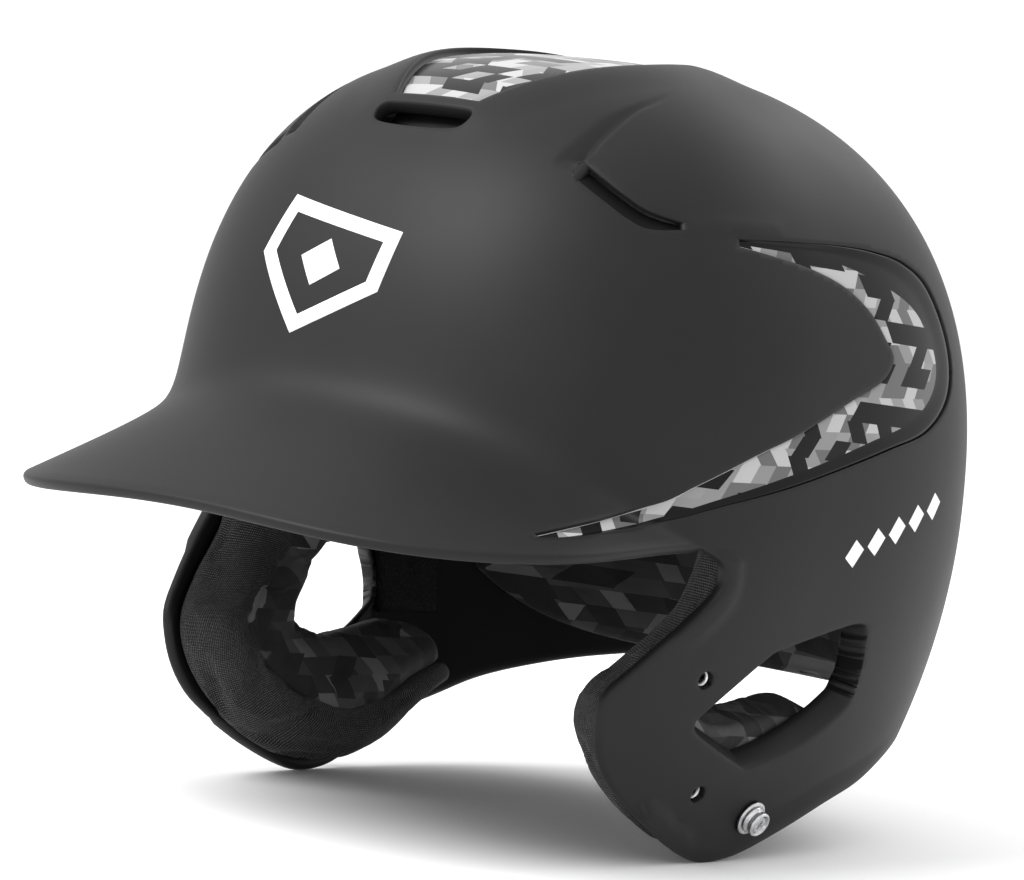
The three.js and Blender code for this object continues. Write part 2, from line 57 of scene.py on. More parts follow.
BILL_REACH = 163
BILL_HALF_WIDTH = 113
BILL_POWER = 3.08
BILL_SLOPE = math.radians(28.5)
BILL_EDGE = -8.5
BILL_SAG = 3.8
BILL_FILLET = 12.35
BILL_ROOT = 30
BILL_FADE = math.radians(22)
FADE_POWER = 0.7
TEMPLE = 62

# places on the skin: degrees round from the front, and height above the belt
FLAP_FRONT = [
    (TEMPLE, BILL_EDGE), (66.5, -13), (67.5, -18), (66.6, -23.5), (62, -32.5), (55, -45.3), (50.6, -54),
    (50.1, -62), (51.2, -71), (54, -79.5), (58.5, -87.8),
]
FLAP_BOTTOM = [
    (58.5, -87.8), (66, -96.2), (74.3, -102.5), (81.5, -104.9), (91.2, -103.1), (102.2, -96.2),
    (112.7, -88.5), (122, -83), (130, -77.5), (139, -72.7), (150, -67.6), (165, -62.5), (180, -61),
]
RIM_LIP = 1.35  # how far the rolled rim stands out past the edge of the skin
FLAP_BOTTOM = [(degrees, z + RIM_LIP) for degrees, z in FLAP_BOTTOM]
FLAP_FRONT[-1] = FLAP_BOTTOM[0]
BAND_LENS_SIDE = [
    (66, 75.2), (76, 72.6), (84, 69.9), (91.5, 65.8), (97.5, 59.6), (101.5, 52), (103.6, 46.2),
    (100.5, 40.2), (94.7, 36), (87.3, 30.2), (78.5, 23.1), (70.7, 17.2), (61, 8.1), (55.3, 2.4),
    (47.5, -1.6), (42, -4.4), (38, -7),
]
BAND_RIM_SIDE = [
    (66, 77.4), (79, 78), (92, 78.2), (103, 77.2), (112.5, 74.5), (120, 67.5), (124.9, 50), (123.5, 36),
    (115.4, 25.3), (103.5, 19.6), (90, 13.2), (78, 7.6), (66.4, 2.4), (56.5, -2.9), (47, -5.8),
    (42, -7.3), (38, -8.1),
]
VENT_LOW = [(37.8, 89.8), (43.5, 83.6), (47.3, 79.5), (51, 77.3), (57.5, 78.2)]
VENT_HIGH = [(39.1, 95.1), (43, 90.9), (47, 86.6), (51, 83), (57.5, 80.4)]
HOOD_OUTER = [(36.5, 92.5), (34.3, 94.1), (38.8, 101.9), (44.9, 108.8), (55.7, 114.6), (63, 117.2)]
HOOD_INNER = [(39.1, 95.1), (39.9, 96.6), (43.4, 103.2), (49.6, 110.3), (57, 114.2), (63, 117)]
VENT_RIDGE = [(57.5, 79.2), (62, 80), (68, 80.9), (76, 81.4)]
TOP_SLOT = {"half": 13.5, "low": 99.6, "high": 105.4}
# half widths of the top panel, from its front to its rear
TOP_PANEL = [(-70.5, 16), (-60, 22.5), (-46, 29.5), (-30, 35), (-15, 36), (5, 31), (25, 22), (42, 9)]

# places on the side, seen along X: y and height
EAR_HOLE = [
    (22.5, -31), (28.8, -40), (30, -52), (27, -59.5), (11, -69.5), (-9, -75.5), (-16, -74.8), (-37, -65.8),
    (-41, -61.5), (-38, -56.8), (-20, -42.2), (-11, -38.2),
]
EAR_CENTRE = (-4, -54)
INSERTS = {"upper": (-41.5, -48), "lower": (-28.4, -82.7)}
STUD = (0, -90.6)
EAR_PATH = [
    (-33, 0), (-38.5, -12), (-44, -30), (-60, -45), (-70, -56), (-69, -67), (-58, -81), (-38, -94.5),
    (-14, -101.5), (8, -98.5), (32, -88), (50, -80.5),
]
CUSHION_MOUTH = [
    (-2, -8), (-3, -22), (-10, -36), (-22, -47), (-30, -54.5), (-31, -61), (-26, -65), (-16, -66.5),
    (-5, -65.5), (6, -64), (18, -62.5), (30, -64),
]

NAPE = {"half_turn": 52, "top": -8, "height": 56, "end_rise": 22}

# depths below the skin
POCKET = 2
FILM_SUNK = 1.1
FOAM_TOP = 4.8
FOAM = 10
PAD_TOP = FOAM_TOP + FOAM + 1.2
FABRIC_PAD = 9
CROWN_PAD = 7
RIM_BORDER = 6.2
RIM_RISE = 1.1
PANEL_COLLAR, COLLAR_REACH = 1.3, 17
HOOD_DEPTH = 2.1
FILM = 0.7
INK = 0.12
VENT_PLATE, DUCT_WALL = 1.0, 1.2
BAND_STEPS = (260, 24)
PANEL_STEPS = (60, 96)
BLACK_STRIP = 0.74  # the share of the band's width at which the print gives way to plain black


# ---------------------------------------------------------------- the skin of the shell
def power_edge(share, power):
    return (1 - np.clip(share, 0, 1) ** power) ** (1 / power)


def dome_radius(turn, z):
    up = np.clip(z / CROWN_HEIGHT, 0, 1)
    down = np.maximum(-z, 0) / TUCK_DEPTH
    side = HALF_WIDTH * power_edge(up, SIDE_POWER) - SIDE_TUCK * down ** 2
    front = FRONT_REACH * power_edge(up, FRONT_POWER) + CHEEK_FLARE * down
    back = BACK_REACH * power_edge(up, BACK_POWER) - BACK_TUCK * down ** 2
    along = np.maximum(np.where(np.cos(turn) >= 0, front, back), 1e-6)
    across = (np.abs(np.sin(turn)) / np.maximum(side, 1e-6)) ** PLAN_POWER
    return (across + (np.abs(np.cos(turn)) / along) ** PLAN_POWER) ** (-1 / PLAN_POWER)


def bill_edge_height(turn):
    share = np.minimum(np.abs(turn) / math.radians(TEMPLE), 1)
    return BILL_EDGE - BILL_SAG * np.sin(math.pi * share) ** 2


def smooth(value, low, high):
    share = np.clip((value - low) / (high - low), 0, 1)
    return share * share * (3 - 2 * share)


def billed_radius(turn, z):
    dome = dome_radius(turn, z)
    in_front = math.radians(TEMPLE) - np.abs(turn)
    strength = smooth(in_front, 0, BILL_FADE) ** FADE_POWER
    edge_height = bill_edge_height(turn)
    root = dome_radius(turn, edge_height)
    across = (np.abs(np.sin(turn)) / BILL_HALF_WIDTH) ** BILL_POWER
    edge = (across + (np.abs(np.cos(turn)) / BILL_REACH) ** BILL_POWER) ** (-1 / BILL_POWER)
    bill = root + (edge - root) * strength - (z - edge_height) / math.tan(BILL_SLOPE)
    billed = (dome + bill + np.hypot(dome - bill, BILL_FILLET * strength)) / 2
    return np.where(in_front > 0, billed, dome)


def height_at(level):
    return np.where(level < math.pi / 2, CROWN_HEIGHT * np.cos(level), CROWN_HEIGHT * (math.pi / 2 - level))


def level_of(z):
    z = np.asarray(z, float)
    return np.where(z > 0, np.arccos(np.clip(z / CROWN_HEIGHT, 0, 1)), math.pi / 2 - z / CROWN_HEIGHT)


def shift_at(z):
    return CROWN_SHIFT * (np.maximum(z, 0) / CROWN_HEIGHT) ** 2


def skin_point(turn, level, radius_of):
    z = height_at(level)
    radius = radius_of(turn, z)
    return np.stack([radius * np.sin(turn), shift_at(z) - radius * np.cos(turn), z], -1)


def skin_normal(turn, level, radius_of):
    step = 0.003
    middle = np.maximum(level, 5 * step)
    down = skin_point(turn, middle + step, radius_of) - skin_point(turn, middle - step, radius_of)
    around = skin_point(turn + step, middle, radius_of) - skin_point(turn - step, middle, radius_of)
    across = np.cross(down, around)
    return across / np.linalg.norm(across, axis=-1, keepdims=True)


def turn_of(points):
    return np.arctan2(points[:, 0], shift_at(points[:, 2]) - points[:, 1])


def normals_on(points):
    """the skin's normals at points that lie on it, on the bill or under it"""
    turn = turn_of(points)
    level = level_of(points[:, 2])
    on_bill = points[:, 2] > bill_edge_height(turn) - 0.05
    billed = skin_normal(turn, level, billed_radius)
    return np.where(on_bill[:, None], billed, skin_normal(turn, level, dome_radius))


def spot_by_side(side, y, z):
    up = np.clip(z / CROWN_HEIGHT, 0, 1)
    down = np.maximum(-z, 0) / TUCK_DEPTH
    along = y - shift_at(z)
    front = FRONT_REACH * power_edge(up, FRONT_POWER) + CHEEK_FLARE * down
    back = BACK_REACH * power_edge(up, BACK_POWER) - BACK_TUCK * down ** 2
    share = np.minimum(np.abs(along) / np.where(along < 0, front, back), 0.999)
    x = (HALF_WIDTH * power_edge(up, SIDE_POWER) - SIDE_TUCK * down ** 2) * power_edge(share, PLAN_POWER)
    return np.arctan2(side * x, -along), level_of(z)


def spot_by_height(degrees, z):
    return np.radians(degrees), level_of(z)


def spot_by_plan(x, y):
    low = np.zeros_like(x, float)
    high = np.full_like(low, math.pi / 2)
    for _ in range(40):
        middle = (low + high) / 2
        z = height_at(middle)
        along = y - shift_at(z)
        within = dome_radius(np.arctan2(x, -along), z) < np.hypot(x, along)
        low = np.where(within, middle, low)
        high = np.where(within, high, middle)
    return np.arctan2(x, shift_at(height_at(low)) - y), low


class Curve:
    """a smooth curve through points, which it passes at even shares of its length"""

    def __init__(self, points, start=0.0, end=1.0):
        self.points = np.array(points, float)
        self.start, self.end = start, end

    def at(self, share):
        share = np.asarray(share, float)
        last = len(self.points) - 1
        place = np.clip(self.start + (self.end - self.start) * share, 0, 1) * last
        left = np.minimum(place.astype(int), last - 1)
        t = (place - left)[..., None]
        before, here = self.points[np.maximum(left - 1, 0)], self.points[left]
        there, after = self.points[left + 1], self.points[np.minimum(left + 2, last)]
        leave, arrive = (there - before) / 2, (after - here) / 2
        cubic = 2 * here - 2 * there + leave + arrive
        square = -3 * here + 3 * there - 2 * leave - arrive
        return cubic * t ** 3 + square * t ** 2 + leave * t + here


flap_front = Curve(FLAP_FRONT)
flap_bottom = Curve(FLAP_BOTTOM)
ear_path = Curve(EAR_PATH)
cushion_mouth = Curve(CUSHION_MOUTH)
panel_edge = Curve(TOP_PANEL)

# where the modelling origin lies in the frame
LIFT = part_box("top_vent_inlay")[1].z * 1000 - CROWN_HEIGHT + 0.6
BILL_TIP = float(billed_radius(np.array([0.0]), np.array([float(BILL_EDGE)]))[0])
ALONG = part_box("shell")[0].y * 1000 + BILL_TIP
HOME = np.array([0, ALONG, LIFT])


# ---------------------------------------------------------------- meshes
def add_grid(bm, columns, rows, place):
    """a grid whose corners go where place puts their two shares, from 0 to 1"""
    made = bmesh.ops.create_grid(bm, x_segments=columns, y_segments=rows, size=0.5)["verts"]
    shares = np.round(np.array([v.co[:2] for v in made]) + 0.5, 6)
    for vert, point in zip(made, place(shares[:, 0], shares[:, 1])):
        vert.co = point
    return made


def save_shares(bm, faces, shares_of):
    """writes shares or distances into the piece's own UV map"""
    uv = bm.loops.layers.uv.verify()
    for face in faces:
        for loop in face.loops:
            loop[uv].uv = shares_of[loop.vert]


def make_piece(bm, name, material, recalc=True):
    """turns millimetres about the modelling origin into a piece in the frame"""
    if recalc:
        bmesh.ops.recalc_face_normals(bm, faces=bm.faces)
        if bm.calc_volume(signed=True) < 0:
            bmesh.ops.reverse_faces(bm, faces=bm.faces)
    for vert in bm.verts:
        vert.co = (vert.co + Vector(HOME)) / 1000
    for face in bm.faces:
        face.smooth = True
    mesh = bpy.data.meshes.new(name)
    bm.to_mesh(mesh)
    bm.free()
    mesh.materials.append(material)
    piece = bpy.data.objects.new(name, mesh)
    bpy.context.scene.collection.objects.link(piece)
    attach(piece, "root")
    return piece


def thicken(bm, thickness):
    """gives sheets that lie on the skin their thickness, inwards"""
    bm.normal_update()
    normals = normals_on(np.array([tuple(f.calc_center_median()) for f in bm.faces]))
    wrong = [f for f, normal in zip(bm.faces, normals) if f.normal.dot(Vector(normal)) < 0]
    bmesh.ops.reverse_faces(bm, faces=wrong)
    bm.normal_update()
    bmesh.ops.solidify(bm, geom=bm.faces, thickness=thickness)


def sunk(turn, level, depth, radius_of=dome_radius):
    inward = skin_normal(turn, level, radius_of) * np.asarray(depth)[..., None]
    return skin_point(turn, level, radius_of) - inward


# ---------------------------------------------------------------- outlines on the skin
class Outline:
    """a closed line on the skin, as a flat map and as points"""

    def __init__(self, flat, points, flatten):
        self.flat, self.points, self.flatten = flat, points, flatten
        self.tree = KDTree(len(points))
        for i, point in enumerate(points):
            self.tree.insert(point, i)
        self.tree.balance()

    def near(self, point):
        return self.tree.find(point)

    def holds(self, points):
        flat = self.flatten(points)
        found = np.all((flat >= self.flat.min(0)) & (flat <= self.flat.max(0)), axis=1)
        x, y = flat[found, 0:1], flat[found, 1:2]
        x0, y0 = self.flat[:, 0], self.flat[:, 1]
        x1, y1 = np.roll(x0, -1), np.roll(y0, -1)
        crossed = ((y0 > y) != (y1 > y)) & (x < (x1 - x0) * (y - y0) / (y1 - y0 + 1e-12) + x0)
        found[np.nonzero(found)[0]] = crossed.sum(1) % 2 == 1
        return found

    def distances(self, points, reach):
        low, high = self.points.min(0) - reach, self.points.max(0) + reach
        found = np.full(len(points), float(reach))
        for i in np.nonzero(np.all((points > low) & (points < high), axis=1))[0]:
            found[i] = min(self.near(points[i])[2], reach)
        return found


def map_flat(points):
    return np.stack([np.degrees(turn_of(points)), points[:, 2]], -1)


def map_plan(points):
    return np.where(points[:, 2:3] > 60, points[:, :2], 1e6)


def outline_of(spots):
    """an outline from two arrays, turn and level"""
    turn, level = spots
    return Outline(
        np.stack([np.degrees(turn), height_at(level)], -1), skin_point(turn, level, billed_radius), map_flat
    )


def closed_line(points, count):
    """a smooth closed line through points, in count steps"""
    loop = Curve(list(points[-2:]) + list(points) + list(points[:2]))
    steps = len(points) + 3
    share = (1 + len(points) * np.arange(count) / count + 1) / steps
    return loop.at(share)


def between(side, first, second, count):
    """the outline of a strip between two curves of degrees and height"""
    share = np.linspace(0, 1, count)
    there, back = first.at(share), second.at(share[::-1])
    line = np.concatenate([there, back])
    return outline_of(spot_by_height(side * line[:, 0], line[:, 1]))


def top_panel_outline():
    share = np.linspace(0, 1, 260)
    edge = panel_edge.at(share)
    front = np.linspace(-edge[0, 1], edge[0, 1], 60)
    rear = np.linspace(edge[-1, 1], -edge[-1, 1], 40)
    x = np.concatenate([front, edge[:, 1], rear, -edge[::-1, 1]])
    y = np.concatenate([np.full(60, edge[0, 0]), edge[:, 0], np.full(40, edge[-1, 0]), edge[::-1, 0]])
    return Outline(np.stack([x, y], -1), skin_point(*spot_by_plan(x, y), dome_radius), map_plan)


def top_slot_outline():
    turn = closed_line([
        (-TOP_SLOT["half"], TOP_SLOT["low"] + 2.6), (-10.5, TOP_SLOT["low"]), (0, TOP_SLOT["low"] - 0.6),
        (10.5, TOP_SLOT["low"]), (TOP_SLOT["half"], TOP_SLOT["low"] + 2.6), (13.2, TOP_SLOT["high"] - 0.6),
        (9, TOP_SLOT["high"]), (0, TOP_SLOT["high"] + 0.2), (-9, TOP_SLOT["high"]),
        (-13.2, TOP_SLOT["high"] - 0.6),
    ], 240)
    return outline_of(spot_by_height(turn[:, 0], turn[:, 1]))


def ear_outline(side):
    line = closed_line(EAR_HOLE, 600)
    return outline_of(spot_by_side(side, line[:, 0], line[:, 1]))


def round_outline(side, place, radius):
    turn, level = spot_by_side(side, np.array([float(place[0])]), np.array([float(place[1])]))
    centre = skin_point(turn, level, dome_radius)[0]
    normal = Vector(skin_normal(turn, level, dome_radius)[0])
    across = normal.cross(Vector((0, 0, 1))).normalized()
    up = across.cross(normal)
    ring = []
    for angle in np.linspace(0, 2 * math.pi, 96, endpoint=False):
        ring.append(Vector(centre) + radius * (across * math.cos(angle) + up * math.sin(angle)))
    ring = np.array([tuple(p) for p in ring])
    return outline_of((turn_of(ring), level_of(ring[:, 2])))


# ---------------------------------------------------------------- the shell
def add_dome(bm):
    crown_rows, bill_rows = 56, 22
    rows = crown_rows + bill_rows
    root = float(level_of(BILL_ROOT))

    def place(degrees, share):
        edge = np.where(np.abs(degrees) < TEMPLE, bill_edge_height(np.radians(degrees)), BILL_EDGE)
        below = root + (level_of(edge) - root) * (share * rows - crown_rows) / bill_rows
        level = np.where(share * rows < crown_rows, root * share * rows / crown_rows, below)
        return skin_point(np.radians(degrees), level, billed_radius)

    add_grid(bm, 100, rows, lambda a, b: place((2 * a - 1) * TEMPLE, 1 - b))
    for side in (-1, 1):
        add_grid(bm, 96, rows, lambda a, b: place(side * (TEMPLE + (180 - TEMPLE) * a), 1 - b))


def add_flap(bm, side):
    def place(a, b):
        b = 1 - b
        top = np.stack([TEMPLE + (180 - TEMPLE) * a, np.full_like(a, BILL_EDGE)], -1)
        back = np.stack([np.full_like(b, 180.0), BILL_EDGE + (FLAP_BOTTOM[-1][1] - BILL_EDGE) * b], -1)
        bottom, front = flap_bottom.at(a), flap_front.at(b)
        a, b = a[:, None], b[:, None]
        spot = top * (1 - b) + bottom * b + front * (1 - a) + back * a
        spot -= np.array([TEMPLE, BILL_EDGE]) * (1 - a) * (1 - b) + np.array([180, BILL_EDGE]) * a * (1 - b)
        spot -= np.array(FLAP_BOTTOM[0]) * (1 - a) * b + np.array(FLAP_BOTTOM[-1]) * a * b
        return skin_point(*spot_by_height(side * spot[:, 0], spot[:, 1]), dome_radius)

    add_grid(bm, 96, 36, place)


def centres(faces):
    return np.array([tuple(f.calc_center_median()) for f in faces])


def refine(bm, outline, reach, cuts=1):
    """smaller faces along an outline, so that its edge is clean"""
    faces = list(bm.faces)
    middles = centres(faces)
    close = outline.distances(middles, reach) < reach
    edges = {e for face, chosen in zip(faces, close) if chosen for e in face.edges}
    bmesh.ops.subdivide_edges(bm, edges=list(edges), cuts=cuts, use_grid_fill=True)


def faces_within(bm, outline, mark):
    faces = [f for f in bm.faces if f[mark] == 0]
    held = outline.holds(centres(faces))
    return [f for f, chosen in zip(faces, held) if chosen]


def border_of(faces):
    chosen = set(faces)
    return [e for e in {e for f in faces for e in f.edges} if len(e.link_faces) == 2 and
            (e.link_faces[0] in chosen) != (e.link_faces[1] in chosen)]


def snap(edges, outline):
    for vert in {v for e in edges for v in e.verts}:
        vert.co = outline.near(vert.co)[0]


def outward_of(edges, normal_of):
    """for each corner of an open edge, the way out of the faces along the skin, mitred"""
    total = {}
    for edge in edges:
        along = (edge.verts[1].co - edge.verts[0].co).normalized()
        middle = (edge.verts[0].co + edge.verts[1].co) / 2
        away = middle - edge.link_faces[0].calc_center_median()
        for vert in edge.verts:
            across = away - along * away.dot(along)
            across -= normal_of[vert] * across.dot(normal_of[vert])
            total[vert] = total.get(vert, Vector()) + across.normalized()
    out = {}
    for vert, way in total.items():
        out[vert] = way.normalized() * min(2 / max(way.length, 0.1), 1.5)
    return out


def roll_lip(bm, edges, home, normal_of, profile, depth_of, out_scale=None):
    """turns an open edge round a profile of pairs, how far out and what share of the way down"""
    out = outward_of(edges, normal_of)
    start = {v: v.co.copy() for v in out}
    foot = {v: Vector(v[home]) - normal_of[v] * depth_of(v) for v in out}
    scale = {v: 1.0 if out_scale is None else out_scale(Vector(v[home])) for v in out}
    source = {v: v for v in out}
    ring = list(edges)
    last = {}
    for reach, share in profile:
        made = bmesh.ops.extrude_edge_only(bm, edges=ring)["geom"]
        fresh = {g for g in made if isinstance(g, bmesh.types.BMVert)}
        origin = {}
        for vert in fresh:
            before = next(e.other_vert(vert) for e in vert.link_edges if e.other_vert(vert) not in fresh)
            origin[vert] = source[before]
        for vert, first in origin.items():
            vert.co = start[first].lerp(foot[first], share) + out[first] * (reach * scale[first])
            vert[home] = first[home]
        ring = [g for g in made if isinstance(g, bmesh.types.BMEdge) and set(g.verts) <= fresh]
        source = {v: origin[v] for v in fresh}
        last = {first: vert.co.copy() for vert, first in origin.items()}
    return last


def swell(points, outlines):
    """how far features stand above the plain skin"""
    rise = np.zeros(len(points))
    share = np.linspace(0, 1, 500)
    edge = np.concatenate([flap_front.at(share[40:]), flap_bottom.at(share)])
    for side in (1, -1):
        rim = outline_of(spot_by_height(side * edge[:, 0], edge[:, 1]))
        gap = rim.distances(points, RIM_BORDER + 2)
        behind = np.abs(np.degrees(turn_of(points)))
        keep = 1 - smooth(behind, 118, 136)
        on_flap = points[:, 2] < BILL_EDGE - 3
        rise += RIM_RISE * (1 - smooth(gap, RIM_BORDER - 1.4, RIM_BORDER)) * keep * on_flap
        hood = outlines["hood", side]
        outer = Outline(hood[0], hood[1], map_flat)
        inner = Outline(hood[2], hood[3], map_flat)
        flat, line = (np.concatenate([hood[i], hood[i + 2][::-1]]) for i in (0, 1))
        whole = Outline(flat, line, map_flat)
        close = np.nonzero(outer.distances(points, 14) < 14)[0]
        held = whole.holds(points[close])
        from_outer = outer.distances(points[close], 20)
        from_inner = inner.distances(points[close], 20)
        corner = np.linalg.norm(points[close] - hood[3][0], axis=1)
        deep = HOOD_DEPTH * (1 - smooth(corner, 6, 52))
        ramp = np.where(held, from_outer / (from_outer + from_inner + 1e-6), 0)
        after = np.where(held, 0, np.where(from_inner < from_outer, 1 - smooth(from_inner, 0, 1.2), 0))
        rise[close] -= deep * np.maximum(ramp, after)
        ridge_share = np.linspace(0, 1, 80)
        line = Curve(VENT_RIDGE).at(ridge_share)
        ridge = outline_of(spot_by_height(side * line[:, 0], line[:, 1]))
        gap = ridge.distances(points, 6)
        rise += 0.45 * np.exp(-(gap / 1.5) ** 2) * (gap < 6)
    panel = outlines["panel"]
    gap = panel.distances(points, COLLAR_REACH)
    rise += PANEL_COLLAR * (1 - smooth(gap, 1, COLLAR_REACH)) * (gap < COLLAR_REACH)
    return rise


def build_shell(material):
    bm = bmesh.new()
    add_dome(bm)
    add_flap(bm, 1)
    add_flap(bm, -1)
    bmesh.ops.remove_doubles(bm, verts=bm.verts, dist=0.03)
    mark = bm.faces.layers.int.new("mark")
    outlines = {"panel": top_panel_outline()}
    through = [(top_slot_outline(), 2.6, 1, "vent")]
    pockets = [outlines["panel"]]
    for side in (1, -1):
        through.append((ear_outline(side), 2.6, 1, "ear"))
        through.append((between(side, Curve(VENT_LOW), Curve(VENT_HIGH), 160), 2.6, 1, "vent"))
        for place in INSERTS.values():
            through.append((round_outline(side, place, 2.9), 6, 3, "insert"))
        pockets.append(between(side, Curve(BAND_LENS_SIDE), Curve(BAND_RIM_SIDE), 420))
        share = np.linspace(0, 1, 160)
        sides = [Curve(HOOD_OUTER).at(share), Curve(HOOD_INNER).at(share)]
        flats = [np.stack([side * line[:, 0], line[:, 1]], -1) for line in sides]
        spots = [skin_point(*spot_by_height(flat[:, 0], flat[:, 1]), dome_radius) for flat in flats]
        outlines["hood", side] = (flats[0], spots[0], flats[1], spots[1])
        refine(bm, Outline(flats[0], spots[0], map_flat), 7)
    for outline, reach, cuts, _ in through:
        refine(bm, outline, reach, cuts)
        inside = faces_within(bm, outline, mark)
        snap(border_of(inside), outline)
        bmesh.ops.delete(bm, geom=inside, context="FACES")
    home = bm.verts.layers.float_vector.new("home")
    for vert in bm.verts:
        vert[home] = vert.co
    made = bmesh.ops.duplicate(bm, geom=list(bm.faces))["geom"]
    for face in [g for g in made if isinstance(g, bmesh.types.BMFace)]:
        face[mark] = 1
    for outline in pockets:
        faces = [f for f in bm.faces if f[mark] == 0]
        close = outline.distances(centres(faces), 2.4) < 2.4
        edges = {e for face, chosen in zip(faces, close) if chosen for e in face.edges}
        bmesh.ops.subdivide_edges(bm, edges=list(edges), cuts=1, use_grid_fill=True)
        inside = faces_within(bm, outline, mark)
        rim = border_of(inside)
        snap(rim, outline)
        for face in inside:
            face[mark] = 2
        bmesh.ops.split_edges(bm, edges=rim)
    inner_verts = {v for f in bm.faces if f[mark] == 1 for v in f.verts}
    for vert in bm.verts:
        if vert not in inner_verts:
            vert[home] = vert.co
    verts = list(bm.verts)
    points = np.array([tuple(v[home]) for v in verts])
    normals = normals_on(points)
    rise = swell(points, outlines)
    normal_of = {v: Vector(n) for v, n in zip(verts, normals)}
    floor_verts = {v for f in bm.faces if f[mark] == 2 for v in f.verts}
    for vert, height in zip(verts, rise):
        if vert in inner_verts:
            vert.co = Vector(vert[home]) - normal_of[vert] * WALL
        elif vert in floor_verts:
            vert.co = Vector(vert[home]) - normal_of[vert] * POCKET
        else:
            vert.co = Vector(vert[home]) + normal_of[vert] * float(height)
    open_edges = [e for e in bm.edges if len(e.link_faces) == 1 and e.link_faces[0][mark] == 0]
    kinds = {"rim": [], "pocket": [], "vent": [], "ear": [], "insert": []}
    for edge in open_edges:
        middle = (Vector(edge.verts[0][home]) + Vector(edge.verts[1][home])) / 2
        kind = "rim"
        for outline, _, _, name in through:
            if outline.near(middle)[2] < 0.6:
                kind = name
        for outline in pockets:
            if outline.near(middle)[2] < 0.6:
                kind = "pocket"
        kinds[kind].append(edge)
    rim = [
        (0.5, 0.04), (0.95, 0.14), (1.25, 0.3), (RIM_LIP, 0.5), (1.25, 0.7), (0.95, 0.86), (0.5, 0.96),
        (0, 1),
    ]
    roll_lip(bm, kinds["rim"], home, normal_of, rim, lambda v: WALL)
    flange = [
        (0.5, 0.03), (1.0, 0.12), (1.4, 0.3), (2.2, 0.8), (3.0, 1.4), (3.5, 1.95), (3.3, 2.15), (2.7, 2.25),
        (2.1, 2.15), (1.9, 1.9), (1.2, 1.5), (0.4, 1.2), (0, 1),
    ]
    roll_lip(bm, kinds["ear"], home, normal_of, flange, lambda v: WALL, ear_lean)
    vent = [(0.3, 0.04), (0.5, 0.16), (0.5, 0.8), (0, 1)]
    roll_lip(bm, kinds["vent"], home, normal_of, vent, lambda v: WALL)
    hole = [(0.15, 0.03), (0.25, 0.1), (0.25, 0.9), (0, 1)]
    roll_lip(bm, kinds["insert"], home, normal_of, hole, lambda v: WALL)
    wall = [(0.12, 0.04), (0.22, 0.14), (0.26, 0.3), (0.26, 1)]
    feet = roll_lip(bm, kinds["pocket"], home, normal_of, wall, lambda v: POCKET)
    tree = KDTree(len(feet))
    for i, vert in enumerate(feet):
        tree.insert(Vector(vert[home]), i)
    tree.balance()
    places = list(feet.values())
    for vert in [v for v in floor_verts if any(len(e.link_faces) == 1 for e in v.link_edges)]:
        _, i, gap = tree.find(Vector(vert[home]))
        if gap < 0.05:
            vert.co = places[i]
    bmesh.ops.remove_doubles(bm, verts=bm.verts, dist=0.004)
    loose = [v for v in bm.verts if not v.link_faces]
    bmesh.ops.delete(bm, geom=loose, context="VERTS")
    bmesh.ops.recalc_face_normals(bm, faces=bm.faces)
    return make_piece(bm, "moulded_shell", material, recalc=False)


def ear_lean(place):
    """the opening's bevel is broadest at its lower rear"""
    low = smooth(np.array(-place.z), 38, 62)
    rear = smooth(np.array(place.y), -12, 14)
    return float(0.35 + 1.15 * max(low, 0.35) * rear + 0.5 * low * (1 - rear))


# ---------------------------------------------------------------- shader values and finishes
class Shade:
    """a shader value that takes part in Python expressions"""

    def __init__(self, finish, socket):
        self.finish, self.socket = finish, socket

    def __add__(self, other):
        return self.finish.maths("ADD", self, other)

    def __radd__(self, other):
        return self.finish.maths("ADD", other, self)

    def __sub__(self, other):
        return self.finish.maths("SUBTRACT", self, other)

    def __rsub__(self, other):
        return self.finish.maths("SUBTRACT", other, self)

    def __mul__(self, other):
        return self.finish.maths("MULTIPLY", self, other)

    def __rmul__(self, other):
        return self.finish.maths("MULTIPLY", other, self)

    def __truediv__(self, other):
        return self.finish.maths("DIVIDE", self, other)

    def __gt__(self, other):
        return self.finish.maths("GREATER_THAN", self, other)

    def __lt__(self, other):
        return self.finish.maths("LESS_THAN", self, other)


